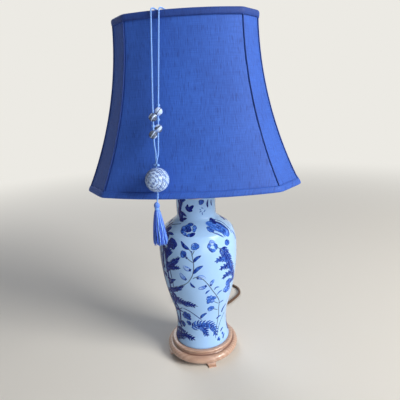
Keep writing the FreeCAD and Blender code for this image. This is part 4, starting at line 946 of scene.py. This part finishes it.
    def blossom(self, place, size, petals, tone, turn=0.0, bare=0.1):
        """A flower of uneven outlined petals round a dark heart; bare is the share of its radius
        inside them."""
        angle, (middle,) = self.laid([place])
        for number in range(petals):
            bearing = turn + TURN * number / petals + 0.16 * math.sin(number * 3.1 + turn)
            toward = np.array([math.cos(bearing), math.sin(bearing)])
            length = size / 2 * (1 + 0.12 * math.sin(number * 2.2 + size))
            share = np.linspace(bare, 1, 8)
            line = middle + toward * (share * length)[:, None]
            width = size * math.sin(math.pi / petals) * (0.78 + 0.45 * bare)
            shade = tone + 0.22 * math.sin(number * 1.9 + turn)
            swell = petal_swell((share - bare) / (1 - bare))
            self.skin(angle, line, (width / 2 + 0.35) * swell, shade + 0.5)
            self.skin(angle, line[1:] - toward * 0.5, (width / 2 - 0.35) * swell[1:], shade, 0.2)
            self.skin(angle, line[:5], 0.4, shade + 0.5, 0.0)
        if petals and bare < 0.3:
            self.dot(angle, middle, size * 0.22, tone + 0.55)
            self.dot(angle, middle, size * 0.1, tone - 0.4)
        elif not petals:
            self.dot(angle, middle, size, tone)


# Places on the jar are degrees to the right of the front, and heights.
# Places, width and darkness of each stroke; a stem has a grey of its own
BRANCHES = [
    ([(-52, 230), (-49, 209), (-48, 189), (-49, 170), (-50, 150), (-49, 128), (-46, 105),
      (-52, 74), (-52, 44)], 5, 1),
    ([(-55, 233), (-60, 203), (-64, 172), (-67, 145)], 5, 1),
    ([(-32, 116), (-21, 113), (-11, 106), (2, 93)], 1.9, 1),
    ([(-75, 88), (-46, 107), (-32, 116)], 1.9, 1),
    ([(-46, 214), (-42, 192), (-41, 174), (-41, 156)], 2.2, 1),
    ([(-66, 263), (-60, 271), (-39, 276)], 1.6, 0.95),
    ([(57, 279), (70, 271), (70, 262), (70, 252)], 1.6, 0.95),
    ([(41, 270), (49, 265), (54, 256)], 1.6, 0.7), ([(34, 267), (43, 263), (51, 252)], 1.6, 0.6),
    ([(-65, 233), (-65, 209), (-71, 177), (-73, 146), (-70, 116), (-76, 86), (-89, 46),
      (-63, 34)], 9, 0.98)]
DABS = [
    ([(73, 257), (79, 246), (79, 236)], 2.2, 0.6), ([(19, 160), (15, 158), (12, 153)], 3.2, 0.5),
    ([(26, 158), (29, 163), (35, 162)], 2.8, 0.5), ([(31, 146), (36, 151), (42, 153)], 2.8, 0.5),
    ([(38, 123), (42, 126), (49, 126)], 2.4, 0.5), ([(18, 304), (26, 302)], 1.7, 0.5),
    ([(13, 296), (20, 298)], 1.8, 0.4), ([(25, 295), (32, 299)], 1.8, 0.4),
    ([(21, 296), (22, 290)], 1.8, 0.4), ([(14, 302), (18, 299)], 1.8, 0.4),
    ([(31, 277), (45, 271), (54, 263), (61, 250)], 22, 0),
    ([(42, 278), (57, 273), (64, 264), (63, 251)], 5, 0.95),
    ([(31, 264), (38, 260), (48, 252)], 2.2, 0.75),
    ([(-58, 317), (-49, 305), (-57, 291), (-43, 280)], 9, 0.95),
    ([(-70, 257), (-58, 247), (-57, 229)], 8, 0.95)]
STEMS = [
    ([(-9, 242), (-5, 235), (-3, 219), (-3, 208), (-4, 200), (-6, 192), (-9, 185),
      (-15, 176), (-27, 167)], 1.5),
    ([(-14, 230), (-10, 224), (-3, 217)], 1.4),
    ([(-8, 186), (-4, 189), (1, 189), (6, 186), (10, 182), (14, 176), (19, 167), (23, 159),
      (31, 144), (36, 132), (37, 122), (37, 112), (38, 101), (37, 86), (31, 55)], 1.5),
    ([(26, 116), (37, 109)], 1.3), ([(25, 134), (36, 125)], 1.3), ([(63, 91), (49, 75), (38, 51)], 1.3),
    ([(31, 241), (38, 234), (42, 227)], 1.5), ([(-1, 239), (-5, 230)], 1.3)]
# Foot, tip, width and darkness of each leaf
LEAVES = [
    ((-8, 241), (-21, 254), 6.2, 0.8), ((-3, 218), (8, 230), 5.4, 0.62),
    ((-4, 196), (10, 211), 6.4, 0.5), ((-7, 203), (-18, 211), 8, -0.75),
    ((-15, 183), (-24, 196), 8.4, -0.6), ((0, 188), (13, 186), 9, -0.9),
    ((20, 169), (26, 181), 6.4, -0.6), ((14, 171), (1, 166), 7, -0.5),
    ((-3, 168), (-10, 179), 4.2, 0.7), ((51, 96), (61, 112), 5, 0.5), ((37, 87), (51, 90), 3.4, 0.5),
    ((2, 96), (15, 108), 6, 0.45), ((-6, 299), (-28, 306), 7.5, 1), ((-2, 309), (-27, 301), 6.5, 1),
    ((-17, 297), (-20, 311), 6, 1), ((40, 302), (42, 317), 3.8, 0.95), ((57, 303), (54, 315), 2.8, 0.9),
    ((-36, 312), (-49, 323), 7, 1), ((-50, 298), (-37, 314), 7, 1), ((-34, 292), (-57, 299), 7, 1),
    ((-46, 280), (-36, 296), 8, 1), ((-32, 279), (-55, 288), 7, 1), ((-46, 148), (-24, 161), 6.5, 0.95),
    ((-47, 165), (-33, 180), 6, 0.95), ((-49, 216), (-34, 233), 8, 0.9),
    ((-45, 195), (-25, 217), 8, 0.8), ((-57, 205), (-55, 229), 8, 0.98),
    ((-56, 193), (-59, 212), 7, 0.98), ((-55, 248), (-40, 239), 8, 0.95),
    ((-48, 228), (-38, 242), 7, 0.95), ((-50, 145), (-39, 139), 7, 0.98),
    ((-57, 102), (-46, 127), 6, 0.95), ((49, 54), (60, 59), 3.6, 0.4), ((52, 38), (62, 45), 3.6, 0.5),
    ((37, 40), (44, 46), 3.2, 0.4), ((-51, 219), (-36, 237), 7, 0.95), ((-50, 208), (-36, 202), 8, 0.9),
    ((-52, 187), (-33, 206), 7, 0.95), ((-53, 176), (-39, 170), 7, 0.95),
    ((-54, 152), (-33, 154), 7, 0.95), ((-70, 111), (-32, 141), 6, 0.9),
    ((-73, 98), (-33, 106), 6.5, 0.9), ((-80, 69), (-46, 66), 7, 0.85), ((-75, 52), (-36, 59), 7, 0.95),
    ((-43, 279), (-24, 285), 5, 0.9), ((-46, 293), (-25, 288), 5, 0.9),
    ((-48, 309), (-25, 319), 5.5, 0.95), ((-71, 263), (-65, 274), 6, 0.95),
    ((-56, 259), (-37, 261), 6, 0.9), ((-56, 247), (-86, 250), 7, 0.95)]
# Middle, size, petals and darkness of each flower, and its bare share where it isn't a tenth
FLOWERS = [
    ((0, 246), 14, 5, 0.1), ((-17, 232), 13, 5, 0.25), ((-12, 226), 4, 0, 0.9), ((-5, 237), 3, 0, 0.7),
    ((-36, 247), 21, 6, 0.75), ((-12, 269), 29, 9, 0.3, 0.5), ((-14, 270), 14, 6, 0.75),
    ((25, 242), 19, 6, 0.15, 0.35), ((25, 249), 10, 3, -0.5), ((51, 242), 12, 4, 0.3),
    ((20, 314), 10.5, 5, 0.3), ((21, 139), 20, 9, -0.05), ((22, 117), 13, 5, 0.05),
    ((53, 151), 20, 5, 0), ((54, 164), 15, 4, 0.15), ((-28, 98), 21, 8, 0.6), ((-43, 75), 13, 5, 0.7),
    ((-25, 82), 11, 4, 0.55), ((-60, 264), 17, 5, 0.9), ((-50, 255), 13, 4, 0.9),
    ((-57, 181), 11, 5, 0.95), ((-32, 215), 12, 5, 0.7), ((55, 48), 5.4, 0, 0.4),
    ((42, 41), 5.2, 0, 0.3), ((30, 268), 14, 6, 0.25), ((47, 277), 14, 5, 0.8),
    ((51, 268), 11, 5, 0.45), ((52, 261), 10, 5, 0.4)]
# Places, reach, darkness, spacing, thickness of leaflets and spine of each fern
FERNS = [
    ([(-72, 131), (-41, 132), (-20, 130), (-1, 126)], 13.5, 0.98, 5, 3.6, 0.55),
    ([(-73, 146), (-71, 125), (-71, 106)], 12, 0.98, 5, 3.2, 0.5),
    ([(-20, 74), (-3, 81), (12, 82), (27, 74), (35, 61), (34, 46)], 13, 0.45, 5.6, 3.9, 0.28),
    ([(0, 79), (10, 68), (15, 53)], 10, 0.6, 4.6, 3.8, 0.35),
    ([(-82, 34), (-39, 52), (-25, 51), (-12, 47)], 13, 0.98, 5, 3.4, 0.5),
    ([(-88, 46), (-70, 43), (-55, 38)], 10, 0.98, 4.4, 3.2, 0.6),
    ([(38, 237), (46, 221), (54, 203), (63, 183), (74, 156)], 13, 0.55, 6.2, 4.8, 0.5),
    ([(54, 213), (38, 217), (26, 215)], 9.5, 0.6, 6, 4.4, 0.6),
    ([(58, 197), (44, 200), (33, 197)], 9, 0.8, 6, 4.4, 0.6),
    ([(64, 181), (49, 182), (38, 177)], 9, 0.6, 6, 4.4, 0.6),
    ([(72, 165), (62, 162), (54, 158)], 7.5, 0.8, 5.4, 4.2, 0.6),
    ([(50, 225), (45, 231), (41, 237)], 6, 0.8, 4.2, 3, 0.6),
    ([(-52, 197), (-36, 212), (-21, 226)], 8, 0.8, 4.2, 3.2, 0.7),
    ([(-51, 196), (-35, 203), (-22, 205)], 8, 0.95, 4.2, 3.2, 0.7),
    ([(-63, 143), (-34, 160), (-18, 171)], 7.5, 0.95, 4, 3, 0.7),
    ([(-56, 237), (-48, 228), (-48, 213)], 8, 0.95, 4.4, 3.4, 0.7),
    ([(-72, 102), (-66, 86), (-58, 69)], 8, 0.95, 4.6, 3.4, 0.6)]


def paint_side(jar, spin):
    """The flowering sprays of one side of the jar."""
    jar.spin = spin
    for places, width, tone in BRANCHES:
        jar.stroke(places, width, tone)
    for places, width in STEMS:
        jar.stroke(places, width, 0.0, stem=1.0)
    for places, width, tone in DABS:
        jar.stroke(places, width, tone, leaf_swell)
    for fern in FERNS:
        jar.fern(*fern)
    for place, size, petals, tone, *bare in FLOWERS:
        jar.blossom(place, size, petals, tone, place[0] * 0.7, *bare)
    for leaf in LEAVES:
        jar.leaf(*leaf)


def paint_vine(jar, spin):
    """A climbing vine for the narrow space between the two sides."""
    jar.spin = spin
    jar.stroke([(2, 52), (-3, 90), (3, 130), (-2, 170), (4, 205), (0, 244)], 1.5, 0.0, stem=1.0)
    for number in range(13):
        height, side = 62 + number * 14, 1 if number % 2 else -1
        jar.leaf((0, height), (side * 11, height + 9), 5.5, 0.3 + 0.4 * (number % 3 == 0))
    jar.blossom((1, 250), 15, 6, 0.4)
    jar.blossom((-2, 272), 13, 5, 0.6)
    jar.blossom((1, 48), 12, 5, 0.5)
    jar.fern([(-6, 285), (2, 298), (0, 312)], 8, 0.8)


inner = [(30.6, 323.5), (30.6, 286.5), (35.6, 278.1), (55.6, 262.5), (61.3, 255.5), (67.6, 222),
         (50.4, 110.2), (43.4, 64.5), (48.3, 38.5), (44.3, 34.5), (6.5, 34.5), (6.5, 29.5)]
points, faces = turned(np.concatenate([JAR_PROFILE, inner]), JAR_COLUMNS)
new_piece("glazed_jar", points, faces, "lamp", JAR_GLAZE, "porcelain", ["jar_body"])
for name, spin in (("front_painting", 0), ("rear_painting", 180)):
    jar = Brushwork(JAR_PROFILE)
    paint_side(jar, spin)
    paint_vine(jar, spin + VINE_TURN)
    new_piece(name, *joined(jar.parts), "lamp", JAR_PAINT, "porcelain", layers={
        "tone": np.concatenate(jar.tones), "brush": np.concatenate(jar.brushes),
        "stem": np.concatenate(jar.stems)})


# Mains lead, as one cord: its points repeat the source's route, and then wind its coil

LEAD_ROUTE = [
    (0, 0.066, 0.0113), (0, 0.105, 0.0113), (0.020, 0.135, 0.0034), (0.052, 0.151, 0.003),
    (0.070, 0.176, 0.003), (0.086, 0.203, 0.003), (0.082, 0.232, 0.003), (0.061, 0.252, 0.003),
    (0.030, 0.2625, 0.003), (-0.005, 0.2662, 0.0034)]
COIL_X, COIL_Y = -0.018, 0.226
# Share of a turn, radius and height: each turn of the coil beside or on the one before
WINDING = [(0, 0.0404, 0.003), (0.3, 0.0365, 0.003), (1, 0.0365, 0.003), (1.3, 0.0303, 0.003),
           (2, 0.0303, 0.003), (2.3, 0.0270, 0.0084), (3, 0.0270, 0.0084), (3.3, 0.0333, 0.0084),
           (4, 0.0333, 0.0084), (4.3, 0.0300, 0.0138), (5, 0.0300, 0.0138), (5.3, 0.0362, 0.0138),
           (6, 0.0362, 0.0138), (6.4, 0.0393, 0.0078), (8, 0.0393, 0.0065)]
POINTS_PER_TURN = 16
# A control point stands a little outside the round that it makes
ROUND_SHARE = 0.985
# The lead leaves the coil here, at a radius and a height, and heads for the plug
LEAVING, LEAVING_RADIUS, LEAVING_HEIGHT = math.radians(172), 0.039, 0.0065
PLUG_HEADING = math.radians(262)


def coil_points():
    """Points round the coil, from where the lead meets it to where it leaves for the plug."""
    turns, radii, heights = np.array(WINDING).T
    start = math.atan2(LEAD_ROUTE[-1][1] - COIL_Y, LEAD_ROUTE[-1][0] - COIL_X)
    end = LEAVING + TURN * 7
    made = []
    for angle in np.arange(start + 0.45, end - 0.3, TURN / POINTS_PER_TURN):
        turn = (angle - start) / TURN
        radius = np.interp(turn, turns, radii) / ROUND_SHARE
        made.append((COIL_X + radius * math.cos(angle), COIL_Y + radius * math.sin(angle),
                     float(np.interp(turn, turns, heights))))
    return made


# The plug is a rounded block with finger ridges and a tapered tail: place along it, half width and
# half height in mm
PLUG_SHAPE = [(-9, 3.6, 3.6), (0, 4.0, 4.0), (3, 5.4, 4.4), (6, 7.6, 5.0), (9, 9.3, 5.7),
              (12, 10.2, 6.3), (16, 10.5, 6.5), (28.4, 10.5, 6.5), (29.6, 10.2, 6.2), (30, 9.4, 5.4)]
PLUG_COLUMNS = 40


def plug_mesh():
    """The plug round z, in mm: its blades' end is at the top."""
    along, wide, tall = np.array(PLUG_SHAPE).T
    rows = np.unique(np.concatenate([np.linspace(-9, 30, 79), along]))
    wide, tall = np.interp(rows, along, wide), np.interp(rows, along, tall)
    gripped = (rows > 14.5) & (rows < 25.5)
    ridge = np.where(gripped, -0.35 * (1 - np.cos((rows - 14.5) * TURN / 2.2)), 0)
    rings = np.where(rows < -0.5, -0.3 * (1 - np.cos((rows + 9) * TURN / 1.7)), 0)
    turn = np.linspace(0, TURN, PLUG_COLUMNS, endpoint=False)
    square = [np.sign(wave) * np.abs(wave) ** 0.6 for wave in (np.cos(turn), np.sin(turn))]
    blocky = np.interp(rows, (0, 9), (0, 1))[:, None]
    across = (wide + rings)[:, None] * (square[0] * blocky + np.cos(turn) * (1 - blocky))
    up = (tall + ridge + rings)[:, None] * (square[1] * blocky + np.sin(turn) * (1 - blocky))
    points = np.stack([across, up, np.repeat(rows[:, None], PLUG_COLUMNS, 1)], -1).reshape(-1, 3)
    return points, tube_faces(len(rows), PLUG_COLUMNS)


leave = np.array([COIL_X + LEAVING_RADIUS * math.cos(LEAVING),
                  COIL_Y + LEAVING_RADIUS * math.sin(LEAVING), LEAVING_HEIGHT])
away = np.array([math.cos(PLUG_HEADING), math.sin(PLUG_HEADING), 0])
lead = nurbs_curve("mains_lead", LEAD_ROUTE + coil_points() + [
    leave, leave + away * 0.014, leave + away * 0.032], diameter=0.006)
lead.data.materials.append(BROWN_PVC)
bpy.context.scene.collection.objects.link(lead)
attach(lead, "lamp")
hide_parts("power_cord", "cord_coil", "plug_lead")
points, faces = plug_mesh()
# The plug's flat sides lie up and down: its own x runs across it, its y up
across = np.cross((0, 0, 1.0), away)
points = points[:, :1] * across + points[:, 1:2] * (0, 0, 1.0) + points[:, 2:] * away
plug = new_piece("moulded_plug", points + (leave + away * 0.028) / MM, faces, "lamp", BROWN_PVC,
                 "brown_plastic", ["plug_body"])

# The strain relief's rings grow smaller along the lead; its outline is radius and place along y
relief = [(3.1, 58), (4.6, 58), (4.6, 67.6), (5.8, 67.6), (5.8, 69.4)]
for number in range(6):
    foot, radius = 70.2 + number * 3.6, 4.9 - number * 0.17
    relief += [(radius - 0.9, foot), (radius - 0.9, foot + 1.2), (radius, foot + 1.5),
               (radius, foot + 3.3)]
relief += [(3.5, 92.2), (3.1, 92.4)]
points, faces = turned(relief, 36)
relief = new_piece("ribbed_relief", placed(points, (0, 0, 11.3), (0, 1, 0)), faces, "lamp", BROWN_PVC,
                   "brown_plastic", ["cord_bushing"], flat=True)


# Hanging ornament

STRING_ROUTE = [
    (-0.0446, -0.1294, 0.398), (-0.0428, -0.1282, 0.416), (-0.0462, -0.1266, 0.429),
    (-0.0427, -0.0879, 0.6013), (-0.0424, -0.0849, 0.6145), (-0.0364, -0.0726, 0.6128),
    (-0.0066, -0.0066, 0.6039), (-0.0066, 0.0066, 0.6039), (0.0066, 0.0066, 0.6039),
    (0.0066, -0.0066, 0.6039), (-0.0244, -0.0729, 0.6128), (-0.0309, -0.0849, 0.6145),
    (-0.0316, -0.0875, 0.6013), (-0.0401, -0.120, 0.434), (-0.040, -0.1268, 0.413),
    (-0.0441, -0.132, 0.400), (-0.0441, -0.132, 0.3547), (-0.0475, -0.132, 0.340),
    (-0.0475, -0.132, 0.316)]
BEAD_RADIUS, BALL_RADIUS, BORE = 6.1, 17.8, 1.5
BALL = np.array([-44.1, -132, 376.7])
TASSEL = np.array([-47.5, -132, 331])


def pierced_ball(radius, rows, columns):
    """A ball with a hole along z, round the origin, and the direction of each of its points."""
    reach = math.acos(BORE / radius)
    rise = np.linspace(-reach, reach, rows)
    points, faces = turned(np.stack([radius * np.cos(rise), radius * np.sin(rise)], 1), columns)
    return points, faces, unit(points)


# Where each bead sits on the string: the rim end, the low end, its place between them in mm, and how
# bare of stripes it is. The stripes are the glass's own; the right strand's beads are barer as painted
# light, the left's darker as painted shade
RIM_LEFT, LOW_LEFT = np.array([-42.4, -84.9, 614.5]), np.array([-46.2, -126.6, 429])
RIM_RIGHT, LOW_RIGHT = np.array([-30.9, -84.9, 614.5]), np.array([-40.1, -120, 434])
BEADS = [(RIM_LEFT, LOW_LEFT, 153.9, -0.6), (RIM_LEFT, LOW_LEFT, 178.3, -0.8),
         (RIM_RIGHT, LOW_RIGHT, 145.2, 0.75), (RIM_RIGHT, LOW_RIGHT, 169.4, 0.3)]
parts, stripes = [], []
for number, (rim, low, distance, bare) in enumerate(BEADS):
    points, faces, out = pierced_ball(BEAD_RADIUS, 40, 72)
    axis = unit(low - rim)
    # Stripes swirl round each bead at a slant
    slant = out @ np.array([0.62, -0.25, 0.74])
    phase = 5.6 * slant + 1.1 * np.sin(2 * np.arctan2(out[:, 1], out[:, 0]) + number) + number * 1.9
    stripes.append(np.sin(phase) + bare)
    parts.append((placed(points, rim + axis * distance, axis), faces))
beads = new_piece("swirled_beads", *joined(parts), "shade", BEAD_GLASS, "striped_bead",
                  ["ornament_beads"], {"stripes": np.concatenate(stripes)})

# An angle that spreads things evenly when each is turned by it from the one before
GOLDEN_TURN = math.pi * (3 - math.sqrt(5))
SCROLLS = 90
# This far in mm from any mark, the glaze is bare
NO_MARK = 9.0
# The ball's painting: a ringed medallion before and behind, and small scrolls all over
points, faces, out = pierced_ball(BALL_RADIUS, 110, 220)
rings = np.full(len(points), NO_MARK)
for facing in ((-0.25, -0.95, 0.15), (0.25, 0.95, 0.15)):
    away = BALL_RADIUS * np.arccos(np.clip(out @ unit(np.array(facing)), -1, 1))
    for ring, half in ((5.2, 0.42), (10.2, 0.42), (15.4, 0.75), (17.8, 0.45), (21.6, 0.55)):
        rings = np.minimum(rings, np.abs(away - ring) - half)
scrolls = np.full(len(points), NO_MARK)
for number in range(SCROLLS):
    height = 1 - (2 * number + 1) / SCROLLS
    turn = number * GOLDEN_TURN
    level = math.sqrt(1 - height ** 2)
    middle = np.array([math.cos(turn) * level, math.sin(turn) * level, height])
    side = unit(np.cross(middle, (0.1, 0.2, 1)))
    flat = (out - middle) @ np.stack([side, np.cross(middle, side)], 1) * BALL_RADIUS
    reach, angle = np.hypot(*flat.T), np.arctan2(*flat.T) + number
    curl = np.abs((reach - 0.36 * (angle % TURN)) - 0.5) - 0.36
    near = (reach < 2.9) & (out @ middle > 0)
    scrolls[near] = np.minimum(scrolls, curl)[near]
blots = 1.2 - 2.2 * np.abs(np.sin(out @ (9, 3, 7)) * np.sin(out @ (-4, 8, 6)))
ball = new_piece("painted_globe", points + BALL, faces, "shade", BALL_GLAZE, "painted_ball",
                 ["ornament_ball"], {"blots": blots, "scrolls": scrolls, "rings": rings})

# Two overhand knots on the ball, and three in the strands between the beads
turn = np.linspace(0, TURN, 60, endpoint=False)
trefoil = np.stack([np.sin(turn) + 2 * np.sin(2 * turn), np.cos(turn) - 2 * np.cos(2 * turn),
                    -np.sin(3 * turn)], 1)
trefoil = np.concatenate([trefoil, trefoil[:1]]) * (0.6, 0.6, 0.95)
knot_places = [(-45.5, -129.9, 397.8), (-41.3, -132.6, 398)]
for rim, low, distance in ((RIM_RIGHT, LOW_RIGHT, 136.5), (RIM_RIGHT, LOW_RIGHT, 156.8),
                           (RIM_LEFT, LOW_LEFT, 166.1)):
    knot_places.append(rim + unit(low - rim) * distance)
parts = [tube(trefoil + middle, 0.85, 8) for middle in knot_places]
knots = new_piece("overhand_knots", *joined(parts), "shade", SATIN, "satin_cord", ["ornament_knots"])

# The tassel: a gathered head, five turns of thread, and a skirt of loose strands
TASSEL_STRANDS, TASSEL_FLUTES = 150, 44
TASSEL_LENGTH, TASSEL_NECK, TASSEL_RADIUS = 55, 2.9, 11.2
head = [(1.0, 331.2), (3.0, 331.4), (3.3, 334.4), (3.9, 335.6), (4.4, 337.4), (4.2, 339.4),
        (3.2, 341.4), (1.9, 342.7), (1.0, 343)]
points, faces = turned(smooth_line(head, 4), TASSEL_FLUTES * 4)
angle = np.arctan2(points[:, 1], points[:, 0])
reach = np.hypot(points[:, 0], points[:, 1])
pinch = 1 - 0.045 * (1 - np.cos(angle * TASSEL_FLUTES)) * (reach > 1.5)
points[:, :2] *= pinch[:, None]
parts = [(points + (TASSEL[0], TASSEL[1], 0), faces)]
strands = [0.5 + 0.3 * wobble(angle * 9, 1.0, 11)]
turn = np.linspace(0, TURN * 5, 160)
wrap = TASSEL + np.stack([3.25 * np.cos(turn), 3.25 * np.sin(turn), 0.4 + turn / TURN * 0.82], 1)
parts.append(tube(wrap, 0.42, 7))
strands.append(np.full(len(wrap) * 7, 0.95))
tassel_head = new_piece("tassel_knob", *joined(parts), "shade", TASSEL_SILK, "tassel_silk",
                        ["tassel_head"], {"strand": np.concatenate(strands)})
random = np.random.default_rng(7)
parts, strands = [], []
for number in range(TASSEL_STRANDS):
    share = math.sqrt((number + 0.5) / TASSEL_STRANDS)
    turn = number * GOLDEN_TURN + random.uniform(-0.2, 0.2)
    toward = np.array([math.cos(turn), math.sin(turn)])
    length = TASSEL_LENGTH - random.uniform(0, 7) * (0.4 + 0.6 * random.random())
    spread = share * (10.6 if toward[0] < 0 else TASSEL_RADIUS)
    down = np.linspace(0, 1, 17)
    neck = share * TASSEL_NECK
    out = neck + (spread - neck) * (down ** 0.8 * (1.25 - 0.25 * down))
    bend = random.uniform(-1, 1, 2) * 1.5
    waves = np.sin(down * random.uniform(6, 13) + turn) * down
    across = toward * out[:, None] + waves[:, None] * bend
    across *= np.minimum(1, TASSEL_RADIUS / np.hypot(*across.T))[:, None]
    line = TASSEL + np.stack([across[:, 0] + 1.6 * down ** 2, across[:, 1], 0.6 - down * length], 1)
    parts.append(tube(line, np.interp(down, (0, 0.9, 1), (0.8, 0.74, 0.3)), 6))
    strands.append(np.full(len(line) * 6, random.uniform(0, 0.3) + 0.7 * (random.random() < 0.42)))
skirt = new_piece("tassel_strands", *joined(parts), "shade", TASSEL_SILK, "tassel_silk",
                  ["tassel_skirt"], {"strand": np.concatenate(strands)})

line, places = resampled(spline_line(STRING_ROUTE), 0.5)
string = new_piece("satin_string", *twisted(line, places, 1.1, 3, 5.5, 7), "shade", SATIN, "satin_cord",
                   ["ornament_string"])
